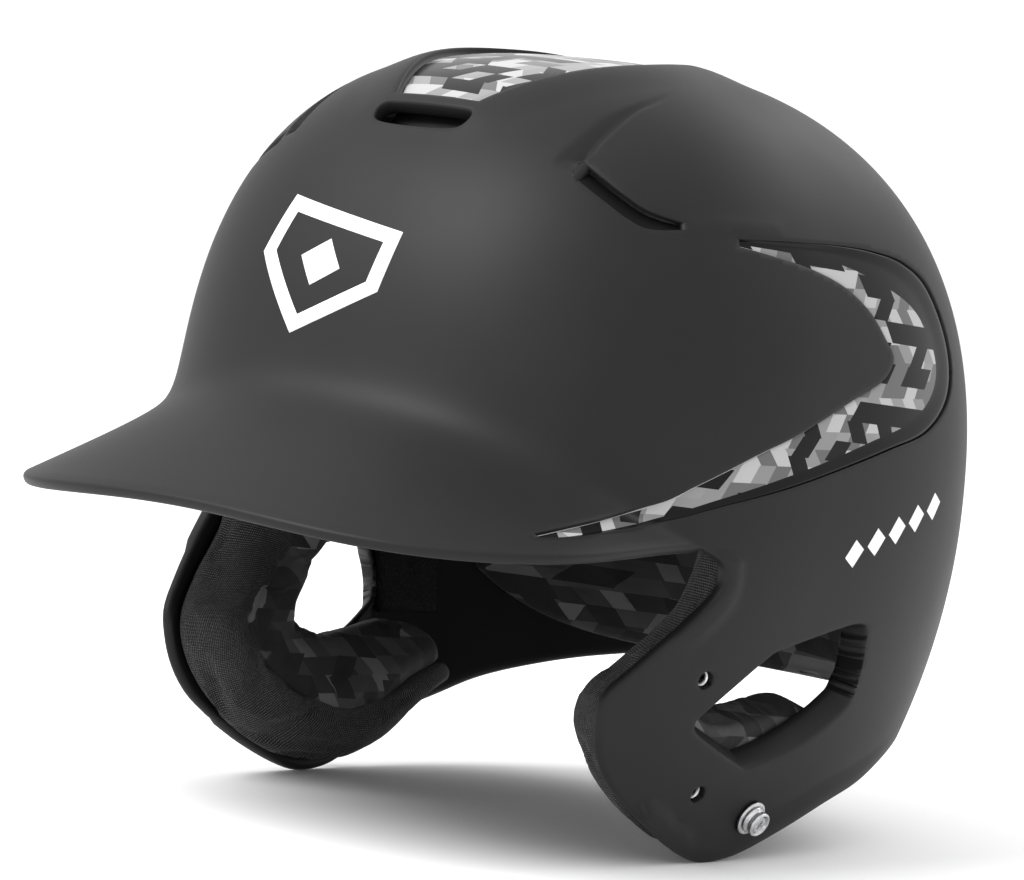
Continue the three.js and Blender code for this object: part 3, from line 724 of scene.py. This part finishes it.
class Finish:
    """one material and the nodes behind it"""

    def __init__(self, name, **fixed):
        self.material = bpy.data.materials.new(name)
        self.material.use_nodes = True
        self.tree = self.material.node_tree
        self.shader = self.tree.nodes["Principled BSDF"]
        for socket, value in fixed.items():
            self.shader.inputs[socket.replace("_", " ").title().replace("Ior", "IOR")].default_value = value

    def node(self, kind, settings=None, inputs=None):
        node = self.tree.nodes.new(kind)
        for name, value in (settings or {}).items():
            if name == "stops":
                ramp = node.color_ramp
                ramp.interpolation = settings.get("steps", "LINEAR")
                while len(ramp.elements) < len(value):
                    ramp.elements.new(0.5)
                for stop, (place, tone) in zip(ramp.elements, value):
                    stop.position = place
                    stop.color = (*(tone if isinstance(tone, tuple) else (tone, tone, tone)), 1)
            elif name != "steps":
                setattr(node, name, value)
        for name, value in (inputs or {}).items():
            if isinstance(value, Shade):
                self.tree.links.new(value.socket, node.inputs[name])
            else:
                node.inputs[name].default_value = value
        return node

    def maths(self, operation, *values):
        node = self.node("ShaderNodeMath", {"operation": operation}, dict(enumerate(values)))
        return Shade(self, node.outputs[0])

    def places(self):
        """the piece's own coordinates, in millimetres"""
        node = self.node("ShaderNodeTexCoord")
        parts = self.node("ShaderNodeSeparateXYZ", inputs={0: Shade(self, node.outputs["Object"])})
        return [Shade(self, out) * 1000 for out in parts.outputs]

    def spot(self):
        return self.vector(*self.places())

    def threads(self):
        """the piece's own UV map, in millimetres along and across"""
        node = self.node("ShaderNodeUVMap")
        parts = self.node("ShaderNodeSeparateXYZ", inputs={0: Shade(self, node.outputs["UV"])})
        return [Shade(self, out) for out in parts.outputs][:2]

    def vector(self, x, y, z=0.0):
        return Shade(self, self.node("ShaderNodeCombineXYZ", inputs={0: x, 1: y, 2: z}).outputs[0])

    def noise(self, vector, scale, detail=2.0, rough=0.5):
        node = self.node("ShaderNodeTexNoise", None, {
            "Vector": vector, "Scale": scale, "Detail": detail, "Roughness": rough,
        })
        return Shade(self, node.outputs["Fac"])

    def ramp(self, value, stops, steps="LINEAR"):
        node = self.node("ShaderNodeValToRGB", {"stops": stops, "steps": steps}, {"Fac": value})
        return Shade(self, node.outputs["Color"])

    def mix(self, share, first, second):
        node = self.node("ShaderNodeMix", {"data_type": "RGBA"}, {0: share, 6: first, 7: second})
        return Shade(self, node.outputs[2])

    def bump(self, height, distance, strength=1.0):
        node = self.node("ShaderNodeBump", None, {
            "Height": height, "Distance": distance, "Strength": strength,
        })
        self.tree.links.new(node.outputs[0], self.shader.inputs["Normal"])

    def feed(self, socket, value):
        self.tree.links.new(value.socket, self.shader.inputs[socket])


def camo_blocks(finish, across, up, cell, seed):
    """one value for each block of rows that lean left or right by turns"""
    row_place = up / (cell * 0.8)
    row = finish.maths("FLOOR", row_place)
    lean = (finish.noise(finish.vector(row, seed, 4.0), 0.9, 0.0) > 0.5) * 1.1 - 0.55
    column = finish.maths("FLOOR", across / cell + (row_place - row) * lean + row * 0.37)
    return finish.noise(finish.vector(column, row, seed), 0.71, 0.0)


def camouflage(finish, across, up, cell, seed, stops, black, share=0.46):
    """one layer of blocks picks the greys and another, slanted the other way, lays the black"""
    light = camo_blocks(finish, across + up * 0.12, up, cell * 0.85, seed + 31.7)
    greys = finish.ramp(light, stops, "CONSTANT")
    dark = camo_blocks(finish, across - up * 0.1, up + across * 0.06, cell, seed)
    return finish.mix(dark < share, greys, (black, black, black, 1))


def soft_touch_coat():
    finish = Finish("soft_touch_charcoal", roughness=0.5, specular_ior_level=0.19)
    place = finish.spot()
    grain = finish.noise(place, 2.6, 3.0, 0.6)
    cloud = finish.noise(place, 0.03, 3.0)
    finish.feed("Base Color", finish.ramp(cloud, [(0.3, 0.0085), (0.7, 0.0105)]))
    finish.feed("Roughness", 0.43 + 0.1 * cloud + 0.06 * grain)
    finish.bump(grain, 0.00004, 0.5)
    return finish.material


def printed_film(name, across, up, seed):
    finish = Finish(name, roughness=0.3, specular_ior_level=0.1, coat_weight=0.05, coat_roughness=0.2)
    places = dict(zip("xyz", finish.places()))
    pattern = camouflage(finish, places[across], places[up], 7.6, seed, [
        (0.0, 0.11), (0.43, 0.21), (0.51, 0.38), (0.6, 0.23),
    ], 0.004)
    from_edge, inward = finish.threads()
    # painted highlight: a light grey line 0.7 mm wide along the film's lens-side edge, where the edge would
    # catch the light
    edge_highlighted = finish.mix(from_edge < 0.7, pattern, (0.42, 0.42, 0.42, 1))
    finish.feed("Base Color", finish.mix(inward > 0.0, (0.004, 0.004, 0.0042, 1), edge_highlighted))
    speck = finish.noise(finish.vector(places["x"], places["y"], places["z"]), 1.4, 2.0)
    finish.feed("Roughness", 0.2 + 0.1 * speck)
    finish.bump(speck, 0.00002, 0.4)
    return finish.material


def grained(name, scale, tones, rough, spread, relief, strength, harshness=0.5, **fixed):
    """a plain finish: one grain varies its tone, its roughness and its relief"""
    finish = Finish(name, **fixed)
    grain = finish.noise(finish.spot(), scale, 3.0, harshness)
    finish.feed("Base Color", finish.ramp(grain, tones))
    finish.feed("Roughness", rough + spread * grain)
    finish.bump(grain, relief, strength)
    return finish.material


def ribbed_knit():
    finish = Finish(
        "ribbed_knit", roughness=0.85, sheen_weight=0.06, sheen_roughness=0.4, specular_ior_level=0.2,
    )
    along, across = finish.threads()
    rib = finish.maths("ABSOLUTE", finish.maths("SINE", along * (math.pi / 0.9)))
    row = finish.maths("SINE", across * (2 * math.pi / 0.8) + along * 1.2)
    flecks = finish.noise(finish.spot(), 1.7, 3.0, 0.7)
    yarn = rib * 0.5 + row * 0.12 + flecks * 0.6
    finish.feed("Base Color", finish.ramp(yarn, [(0.25, 0.003), (0.6, 0.011), (0.74, 0.035), (0.9, 0.12)]))
    finish.feed("Roughness", 0.7 + 0.2 * flecks)
    finish.bump(yarn, 0.0003, 0.9)
    return finish.material


def camo_jersey(name, across, up, seed):
    finish = Finish(name, roughness=0.8, sheen_weight=0.06, sheen_roughness=0.5, specular_ior_level=0.2)
    places = dict(zip("xyz", finish.places()))
    pattern = camouflage(finish, places[across], places[up], 8.0, seed, [
        (0.0, 0.022), (0.45, 0.055), (0.54, 0.13), (0.61, 0.04),
    ], 0.012)
    x, y, z = places["x"], places["y"], places["z"]
    wale = finish.maths("SINE", (places[across] + places[up] * 0.35) * (2 * math.pi / 0.7))
    course = finish.maths("SINE", (places[up] - places[across] * 0.2) * (2 * math.pi / 0.6))
    fuzz = finish.noise(finish.vector(x, y, z), 2.2, 2.0, 0.6)
    creases = finish.noise(finish.vector(x, y, z), 0.09, 2.0, 0.5)
    weave = wale * course
    finish.feed("Base Color", finish.mix(0.25 * fuzz, pattern, finish.ramp(fuzz, [(0.3, 0.01), (0.7, 0.05)])))
    finish.feed("Roughness", 0.7 + 0.2 * fuzz)
    finish.bump(weave * 0.08 + fuzz * 0.15 + creases * 6.0, 0.0003, 0.8)
    return finish.material


def closed_cell_foam():
    finish = Finish("closed_cell_foam", roughness=0.9, specular_ior_level=0.2)
    place = finish.spot()
    cells = finish.node("ShaderNodeTexVoronoi", None, {"Vector": place, "Scale": 1.1})
    depth = Shade(finish, cells.outputs["Distance"])
    cloud = finish.noise(place, 0.12, 3.0)
    finish.feed("Base Color", finish.ramp(depth * 0.6 + cloud * 0.4, [(0.1, 0.009), (0.7, 0.024)]))
    finish.feed("Roughness", 0.8 + 0.15 * cloud)
    finish.bump(depth, 0.0002, 0.6)
    return finish.material


def nickel():
    finish = Finish("turned_nickel", roughness=0.24, metallic=1.0)
    x, y, z = finish.places()
    wear = finish.noise(finish.vector(x, y, z), 0.9, 4.0, 0.65)
    fine = finish.noise(finish.vector(x * 0.3, y * 0.3, z * 8), 1.2, 2.0)
    finish.feed("Base Color", finish.ramp(wear, [(0.3, (0.42, 0.42, 0.43)), (0.7, (0.66, 0.66, 0.67))]))
    finish.feed("Roughness", 0.16 + 0.2 * wear + 0.06 * fine)
    finish.bump(fine, 0.00003, 0.4)
    return finish.material


# ---------------------------------------------------------------- film inlays, vents and prints
def build_band(side, material):
    """the film lies flat by the lens panel and climbs, black and glossy, at the rim side"""
    lens, rim = Curve(BAND_LENS_SIDE), Curve(BAND_RIM_SIDE)
    bm = bmesh.new()
    share_of = {}

    def place(a, b):
        near, far = lens.at(a), rim.at(a)
        line = near + (far - near) * (0.015 + 0.97 * b)[:, None]
        climb = smooth(b, 0.72, 1.0)
        sunk_by = FILM_SUNK * (1 - climb) + 0.3 * climb
        turn, level = spot_by_height(side * line[:, 0], line[:, 1])
        edge = np.minimum(b, 1 - b)
        sunk_by = sunk_by + 0.5 * (edge < 1e-6)
        return sunk(turn, level, sunk_by, billed_radius)

    verts = add_grid(bm, *BAND_STEPS, place)
    columns, rows = BAND_STEPS
    steps = np.linspace(0, 1, columns + 1)
    ends = []
    for line in (lens.at(steps), rim.at(steps)):
        ends.append(skin_point(*spot_by_height(line[:, 0], line[:, 1]), billed_radius))
    widths = np.linalg.norm(ends[0] - ends[1], axis=1)
    for i, vert in enumerate(verts):
        a, b = i % (columns + 1) / columns, i // (columns + 1) / rows
        top = 0.28 * float(1 - smooth(np.array(a), 0.2, 0.42))
        share_of[vert] = (b * float(widths[i % (columns + 1)]), (BLACK_STRIP - top - b) * 10)
    save_shares(bm, bm.faces, share_of)
    thicken(bm, FILM)
    name = "left_band_film" if side > 0 else "right_band_film"
    return make_piece(bm, name, material)


def build_top_film(material):
    bm = bmesh.new()

    def place(a, b):
        edge = panel_edge.at(b)
        y = edge[:, 0] + 0.5 * (1 - 2 * b)
        x = (2 * a - 1) * (edge[:, 1] - 0.5)
        return sunk(*spot_by_plan(x, y), np.full_like(a, FILM_SUNK))

    verts = add_grid(bm, *PANEL_STEPS, place)
    columns = PANEL_STEPS[0]
    share_of = {}
    for i, vert in enumerate(verts):
        a = i % (columns + 1) / columns
        share_of[vert] = (2.0, 6.0 * (min(a, 1 - a) - 0.02) + 1)
    save_shares(bm, bm.faces, share_of)
    thicken(bm, FILM)
    return make_piece(bm, "top_panel_film", material)


def build_louvre(side, material):
    """the dark plate that slopes in under the hood of a side vent"""
    low, high = Curve(VENT_LOW, 0.02, 0.97), Curve(VENT_HIGH, 0.02, 0.97)
    bm = bmesh.new()

    def place(a, b):
        line = low.at(a) + (high.at(a) - low.at(a)) * (0.03 + 0.8 * b)[:, None]
        turn, level = spot_by_height(side * line[:, 0], line[:, 1])
        return sunk(turn, level, 0.5 + 1.9 * b)

    add_grid(bm, 40, 8, place)
    thicken(bm, VENT_PLATE)
    return make_piece(bm, "left_vent_louvre" if side > 0 else "right_vent_louvre", material)


def build_duct(material):
    """the mouth of the top vent's duct: a floor and a raised rear lip behind the slot"""
    bm = bmesh.new()

    def place(a, b):
        degrees = (2 * a - 1) * (TOP_SLOT["half"] + 2)
        z = TOP_SLOT["high"] + 2.5 + (TOP_SLOT["low"] - TOP_SLOT["high"] - 5) * b
        depth = 5.2 + 2.5 * np.sin(math.pi * b)
        return sunk(*spot_by_height(degrees, z), depth)

    add_grid(bm, 40, 12, place)
    thicken(bm, DUCT_WALL)
    return make_piece(bm, "top_vent_mouth", material)


def print_quad(bm, corners, steps, to_spot):
    """one flat stroke of ink, laid on the skin"""
    first, second, third, fourth = (np.array(c, float) for c in corners)

    def place(a, b):
        a, b = a[:, None], b[:, None]
        flat = first * (1 - a) * (1 - b) + second * a * (1 - b) + third * a * b + fourth * (1 - a) * b
        turn, level = to_spot(flat)
        return sunk(turn, level, np.full(len(flat), -0.07), billed_radius)

    add_grid(bm, *steps, place)


def build_front_mark(material):
    """a home-plate outline with a diamond in it, low on the front"""
    centre_turn, centre_z = -5.0, 57.0
    lean = math.radians(-9)

    def to_spot(flat):
        x = flat[:, 0] * math.cos(lean) - flat[:, 1] * math.sin(lean)
        z = flat[:, 0] * math.sin(lean) + flat[:, 1] * math.cos(lean)
        return np.radians(centre_turn) + x / 100, level_of(centre_z + z * 0.93)

    bm = bmesh.new()
    outer = [(-24, 17), (24, 17), (24, -2), (0, -22), (-24, -2)]
    inner = [(-19, 12.5), (19, 12.5), (19, -0.2), (0, -16), (-19, -0.2)]
    for i in range(5):
        j = (i + 1) % 5
        print_quad(bm, [outer[i], outer[j], inner[j], inner[i]], (30, 3), to_spot)
    print_quad(bm, [(-8, 1), (0, 8.5), (8, 1), (0, -6.5)], (10, 10), to_spot)
    bmesh.ops.remove_doubles(bm, verts=bm.verts, dist=0.01)
    thicken(bm, INK)
    return make_piece(bm, "front_print", material)


def build_side_marks(side, material):
    """a short row of diamonds behind the ear"""
    bm = bmesh.new()
    for i in range(5):
        share = i / 4
        degrees = 96.5 + 22.5 * share
        height = -10.6 + 13.6 * share
        half_wide, half_tall = 2.35, 4.1

        def to_spot(flat, degrees=degrees, height=height):
            level = level_of(height + flat[:, 1] + flat[:, 0] * 0.55)
            return np.radians(side * (degrees + flat[:, 0])), level

        corners = [(-half_wide, 0), (0, half_tall), (half_wide, 0), (0, -half_tall)]
        print_quad(bm, corners, (6, 6), to_spot)
    thicken(bm, INK)
    return make_piece(bm, "left_side_print" if side > 0 else "right_side_print", material)


# ---------------------------------------------------------------- pads and liners
def closed_line_at(points, share):
    loop = Curve(np.concatenate([points[-2:], points, points[:2]]))
    steps = len(points) + 3
    return loop.at((2 + len(points) * share) / steps)


def inset_path(share, inset):
    point = ear_path.at(share)
    to_centre = np.array(EAR_CENTRE) - point
    return point + to_centre / np.linalg.norm(to_centre, axis=1, keepdims=True) * np.asarray(inset)[..., None]


def swept_pad(name, side, first, second, section, material, columns=150, rows=40, ends=0.05):
    """a closed pad swept along the ear path: the section's pairs are the share of the way from the
    first line to the second, and the depth below the skin"""
    bm = bmesh.new()
    middle = np.mean(np.array(section, float), axis=0)

    def place(a, b):
        pairs = closed_line_at(np.array(section, float), b)
        away = np.clip((np.abs(2 * a - 1) - (1 - 2 * ends)) / (2 * ends), 0, 1)
        keep = np.sqrt(np.maximum(1 - away ** 2, 0))[:, None]
        pairs = middle + (pairs - middle) * keep
        spot = first(a) + (second(a) - first(a)) * pairs[:, :1]
        return sunk(*spot_by_side(side, spot[:, 0], spot[:, 1]), pairs[:, 1])

    verts = add_grid(bm, columns, rows, place)
    share_of = {}
    for i, vert in enumerate(verts):
        share_of[vert] = (i % (columns + 1) / columns * 250, i // (columns + 1) / rows * 70)
    save_shares(bm, bm.faces, share_of)
    bmesh.ops.remove_doubles(bm, verts=bm.verts, dist=0.01)
    return make_piece(bm, name, material)


def pillow(name, spot, depth, thickness, material, size, columns=48, rows=32, square=(8, 5), grooves=()):
    """a closed pad on a patch of the skin's inside, flat against the shell and crowned towards the head"""
    bm = bmesh.new()

    def thick(a, b):
        rise = (1 - np.abs(2 * a - 1) ** square[0]) * (1 - np.abs(2 * b - 1) ** square[1])
        rise = np.maximum(rise, 0) ** 0.5
        for axis, place, width in grooves:
            gap = (a if axis == "a" else b) - place
            rise = rise * (1 - 0.35 * np.exp(-(gap / width) ** 2))
        return thickness * rise

    share_of = {}
    for top in (True, False):
        def place(a, b, top=top):
            return sunk(*spot(a, b), depth + (thick(a, b) if top else 0 * a))

        verts = add_grid(bm, columns, rows, place)
        for i, vert in enumerate(verts):
            share_of[vert] = (i % (columns + 1) / columns * size[0], i // (columns + 1) / rows * size[1])
    save_shares(bm, bm.faces, share_of)
    bmesh.ops.remove_doubles(bm, verts=bm.verts, dist=0.01)
    return make_piece(bm, name, material)


def block_spot(from_degrees, to_degrees, high, low):
    def spot(a, b):
        level = level_of(high) + (level_of(low) - level_of(high)) * b
        return np.radians(from_degrees + (to_degrees - from_degrees) * a), level
    return spot


def cap_spot(low):
    """a round patch over the crown, from a square of shares"""
    def spot(a, b):
        x, y = 2 * a - 1, 2 * b - 1
        round_x, round_y = x * np.sqrt(1 - y * y / 2), y * np.sqrt(1 - x * x / 2)
        return np.arctan2(round_x, -round_y), level_of(low) * np.minimum(np.hypot(round_x, round_y), 1)
    return spot


def nape_spot(a, b):
    """the nape pad's patch, whose lower edge rises towards its ends"""
    turn = (2 * a - 1) * NAPE["half_turn"]
    end = (np.abs(turn) / NAPE["half_turn"]) ** 4
    return np.radians(180 + turn), level_of(NAPE["top"] + (NAPE["end_rise"] * end - NAPE["height"]) * b)


def puff(piece, held_depth, steps=18, pressure=4.0, cap=1.8, spare=-0.035):
    """lets a pad's cover, a little larger than its filling, swell as cloth; its seat is held"""
    before = np.array([tuple(v.co) for v in piece.data.vertices])
    places = before * 1000 - HOME
    reach = np.hypot(places[:, 0], places[:, 1] - shift_at(places[:, 2]))
    depth = dome_radius(turn_of(places), places[:, 2]) - reach
    seat = piece.vertex_groups.new(name="seat")
    seat.add([int(i) for i in np.nonzero(depth < held_depth)[0]], 1.0, "REPLACE")
    cloth = piece.modifiers.new("cover", "CLOTH")
    cloth.settings.vertex_group_mass = "seat"
    cloth.settings.use_pressure = True
    cloth.settings.uniform_pressure_force = pressure
    cloth.settings.shrink_min = spare
    cloth.settings.effector_weights.gravity = 0
    cloth.settings.quality = 4
    cloth.point_cache.frame_start = 1
    cloth.point_cache.frame_end = steps
    scene = bpy.context.scene
    for number in range(1, steps + 1):
        scene.frame_set(number)
    shape = piece.evaluated_get(bpy.context.evaluated_depsgraph_get())
    after = np.array([tuple(v.co) for v in shape.data.vertices])
    scene.frame_set(1)
    piece.modifiers.remove(cloth)
    piece.vertex_groups.remove(seat)
    move = after - before
    length = np.linalg.norm(move, axis=1, keepdims=True)
    move *= np.minimum(1, cap / 1000 / np.maximum(length, 1e-9))
    piece.data.vertices.foreach_set("co", (before + move).ravel())
    piece.data.update()


# ---------------------------------------------------------------- metal
def spin_part(name, profile, side, place, material, steps=56):
    """a turned part whose axis is the skin's normal; pairs of radius and height, outward"""
    bm = bmesh.new()
    verts = [bm.verts.new((radius, 0, height)) for radius, height in profile]
    edges = [bm.edges.new(pair) for pair in zip(verts, verts[1:])]
    bmesh.ops.spin(
        bm, geom=verts + edges, cent=(0, 0, 0), axis=(0, 0, 1), dvec=(0, 0, 0), angle=2 * math.pi,
        steps=steps, use_merge=True, use_normal_flip=False, use_duplicate=False,
    )
    bmesh.ops.remove_doubles(bm, verts=bm.verts, dist=0.001)
    turn, level = spot_by_side(side, np.array([float(place[0])]), np.array([float(place[1])]))
    centre = Vector(skin_point(turn, level, dome_radius)[0])
    axis = Vector(skin_normal(turn, level, dome_radius)[0])
    turned = Matrix.Translation(centre) @ Vector((0, 0, 1)).rotation_difference(axis).to_matrix().to_4x4()
    bmesh.ops.transform(bm, matrix=turned, verts=bm.verts)
    return make_piece(bm, name, material)


# ---------------------------------------------------------------- make the pieces
coat = soft_touch_coat()
side_film = printed_film("side_camo_film", "y", "z", 4.0)
top_film = printed_film("top_camo_film", "x", "y", 9.0)
black = grained(
    "satin_black_vent", 3.0, [(0.3, 0.007), (0.7, 0.01)], 0.36, 0.14, 0.00004, 0.5,
    roughness=0.4, specular_ior_level=0.2,
)
louvre_coat = grained(
    "satin_charcoal_louvre", 2.4, [(0.3, 0.003), (0.7, 0.0042)], 0.4, 0.12, 0.00004, 0.5,
    roughness=0.45, specular_ior_level=0.08,
)
knit = ribbed_knit()
ear_jersey = camo_jersey("ear_camo_jersey", "y", "z", 2.0)
nape_jersey = camo_jersey("nape_camo_jersey", "x", "z", 6.0)
foam = closed_cell_foam()
tape = grained(
    "hook_tape", 2.4, [(0.42, 0.004), (0.55, 0.012), (0.66, 0.04)], 0.7, 0.3, 0.0004, 1.0, 0.7,
    roughness=0.9, specular_ior_level=0.2,
)
steel = nickel()
ink = grained("white_ink", 2.0, [(0.3, 0.8), (0.7, 0.9)], 0.36, 0.14, 0.00003, 0.4, roughness=0.4)


def stand_in(piece, node):
    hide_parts(node)
    return piece


def pad_piece(piece, node):
    stand_in(piece, node)
    return piece


stand_in(build_shell(coat), "shell")
stand_in(build_top_film(top_film), "top_vent_inlay")
stand_in(build_duct(black), "top_vent_duct")
build_front_mark(ink)


pad_piece(
    pillow("crown_foam", cap_spot(111), FOAM_TOP, FOAM, foam, (130, 120), 44, 44, (10, 10)),
    "crown_liner",
)
pad_piece(
    pillow("front_foam", block_spot(-35, 35, 94, 36), FOAM_TOP, FOAM, foam, (125, 60), 60, 30, (14, 8),
           [("a", 0.33, 0.02), ("a", 0.67, 0.02)]),
    "front_liner",
)
pad_piece(
    pillow("rear_foam", block_spot(128, 232, 102, 0), FOAM_TOP, FOAM, foam, (240, 110), 90, 44, (16, 12),
           [("a", 0.25, 0.012), ("a", 0.5, 0.012), ("a", 0.75, 0.012)]),
    "rear_liner",
)
crown_pad = pad_piece(
    pillow("crown_cushion", cap_spot(119), PAD_TOP, CROWN_PAD, knit, (90, 80), 36, 36, (4, 4)),
    "crown_pad",
)
brow_pad = pad_piece(
    pillow("brow_cushion", block_spot(-50, 50, 32, 8), FOAM_TOP, FABRIC_PAD, knit, (170, 28), 90, 20,
           (10, 3)),
    "brow_pad",
)
nape_pad = pad_piece(
    pillow("nape_cushion", nape_spot, FOAM_TOP, FABRIC_PAD + 2, nape_jersey, (210, 60), 110, 36, (8, 3)),
    "nape_pad",
)

EDGE_SECTION = [
    (0.0, 4.9), (-0.06, 9), (-0.03, 14), (0.08, 18.6), (0.32, 22), (0.66, 24.2), (0.95, 24.8), (1.12, 22),
    (1.12, 14), (1.1, 6.5), (0.9, 4.9), (0.4, 4.8),
]
CUSHION_SECTION = [
    (0.0, 23.6), (0.1, 26), (0.35, 28), (0.65, 27.8), (0.9, 25), (1.0, 21), (1.0, 14), (0.94, 9),
    (0.6, 8), (0.2, 8), (0.02, 10), (0.0, 17),
]


def build_ear_side(word, side):
    stand_in(build_band(side, side_film), f"{word}_camo_inlay")
    stand_in(build_louvre(side, louvre_coat), f"{word}_side_vent_louvre")
    build_side_marks(side, ink)
    pad_piece(
        pillow(f"{word}_foam", block_spot(side * 60, side * 122, 102, 9), FOAM_TOP, FOAM, foam, (115, 95),
               56, 44, (12, 12), [("b", 0.5, 0.02)]),
        f"{word}_liner",
    )
    edge = swept_pad(
        f"{word}_edge_cushion", side, lambda a: inset_path(a, np.full_like(a, -0.6)),
        lambda a: inset_path(a, np.full_like(a, 10.6)), EDGE_SECTION, knit,
    )
    pad_piece(edge, f"{word}_ear_edge_pad")
    puff(edge, 8)
    cushion = swept_pad(
        f"{word}_ear_cushion_cover", side, lambda a: inset_path(a, np.full_like(a, 11.0)),
        cushion_mouth.at, CUSHION_SECTION, ear_jersey,
    )
    pad_piece(cushion, f"{word}_ear_cushion")
    puff(cushion, 12)
    strip = pillow(
        f"{word}_hook_tape", block_spot(side * 107, side * 121, -14, -58), FOAM_TOP, 2.2, tape, (25, 44),
        16, 24, (12, 12),
    )
    pad_piece(strip, f"{word}_hook_strip")
    base = spin_part(f"{word}_stud_flange", [
        (1.9, 0.35), (5.2, 0.35), (5.4, 0.55), (5.4, 1.1), (5.15, 1.35), (4.6, 1.45), (1.9, 1.45),
        (1.9, 0.35),
    ], side, STUD, steel)
    stand_in(base, f"{word}_stud_base")
    ring = spin_part(f"{word}_stud_socket_ring", [
        (1.9, 1.65), (4.2, 1.65), (4.25, 2.0), (3.9, 2.35), (3.35, 2.7), (3.4, 3.3), (3.85, 3.9), (3.9, 4.4),
        (3.75, 4.8), (3.5, 5.0), (3.2, 5.02), (3.0, 4.85), (3.0, 2.9), (1.9, 2.85), (1.9, 1.65),
    ], side, STUD, steel)
    stand_in(ring, f"{word}_stud_ring")
    for node in ("stud_screw", "stud_nut"):
        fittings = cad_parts[f"{word}_{node}"]
        fittings.data.materials.clear()
        fittings.data.materials.append(steel)
    for level, place in INSERTS.items():
        insert = spin_part(f"{word}_{level}_threaded_insert", [
            (1.45, -5.2), (4.4, -5.2), (4.4, -4.1), (2.55, -4.1), (2.55, -2.1), (2.35, -1.8), (2.0, -1.7),
            (1.6, -2.1), (1.45, -2.6), (1.45, -5.2),
        ], side, place, steel)
        stand_in(insert, f"{word}_{level}_guard_insert")


for word, side in (("left", 1), ("right", -1)):
    build_ear_side(word, side)

for pad, held_depth in ((crown_pad, PAD_TOP + 1.5), (brow_pad, 7), (nape_pad, 7)):
    puff(pad, held_depth)


# ---------------------------------------------------------------- floor, light and camera
def pale_floor():
    finish = Finish("pale_floor", roughness=0.9, specular_ior_level=0.1)
    x, y, z = finish.places()
    cloud = finish.noise(finish.vector(x, y, z), 0.004, 2.0)
    finish.feed("Base Color", finish.ramp(cloud, [(0.3, 0.92), (0.7, 0.94)]))
    bm = bmesh.new()
    bmesh.ops.create_circle(bm, cap_ends=True, segments=96, radius=6)
    mesh = bpy.data.meshes.new("studio_floor")
    bm.to_mesh(mesh)
    bm.free()
    mesh.materials.append(finish.material)
    floor = bpy.data.objects.new("studio_floor", mesh)
    bpy.context.scene.collection.objects.link(floor)


def soft_box(name, place, aim, size, power):
    lamp = bpy.data.lights.new(name, "AREA")
    lamp.shape = "RECTANGLE"
    lamp.size, lamp.size_y = size
    lamp.energy = power
    light = bpy.data.objects.new(name, lamp)
    light.location = place
    light.rotation_euler = (Vector(aim) - Vector(place)).to_track_quat("-Z", "Y").to_euler()
    bpy.context.scene.collection.objects.link(light)


pale_floor()
world = bpy.data.worlds.new("studio")
world.use_nodes = True
world.node_tree.nodes["Background"].inputs["Color"].default_value = (1, 1, 1, 1)
world.node_tree.nodes["Background"].inputs["Strength"].default_value = 1.12
bpy.context.scene.world = world
aim = (0, 0, 0.12)
soft_box("key", (-0.5, -1.3, 1.5), aim, (1.4, 1.0), 46)
soft_box("side", (1.8, -0.3, 0.9), aim, (0.8, 1.6), 1)
soft_box("back", (0.2, 1.6, 1.4), aim, (1.6, 0.8), 10)

camera_data = bpy.data.cameras.new("camera")
camera_data.lens = 166.55
camera_stand = (912.46, -1101.02, 100.82)  # from the modelling origin, in millimetres
camera_data.sensor_width = 36
camera = bpy.data.objects.new("camera", camera_data)
right = Vector((0.75513, 0.64718, 0.10461)).normalized()
back = Vector((0.64420, -0.76211, 0.06473)).normalized()
up = back.cross(right).normalized()
stand = (Vector(camera_stand) + Vector(HOME)) / 1000
camera.matrix_world = Matrix.Translation(stand) @ Matrix((right, up, back)).transposed().to_4x4()
bpy.context.scene.collection.objects.link(camera)
bpy.context.scene.camera = camera
bpy.context.scene.view_settings.view_transform = "Standard"
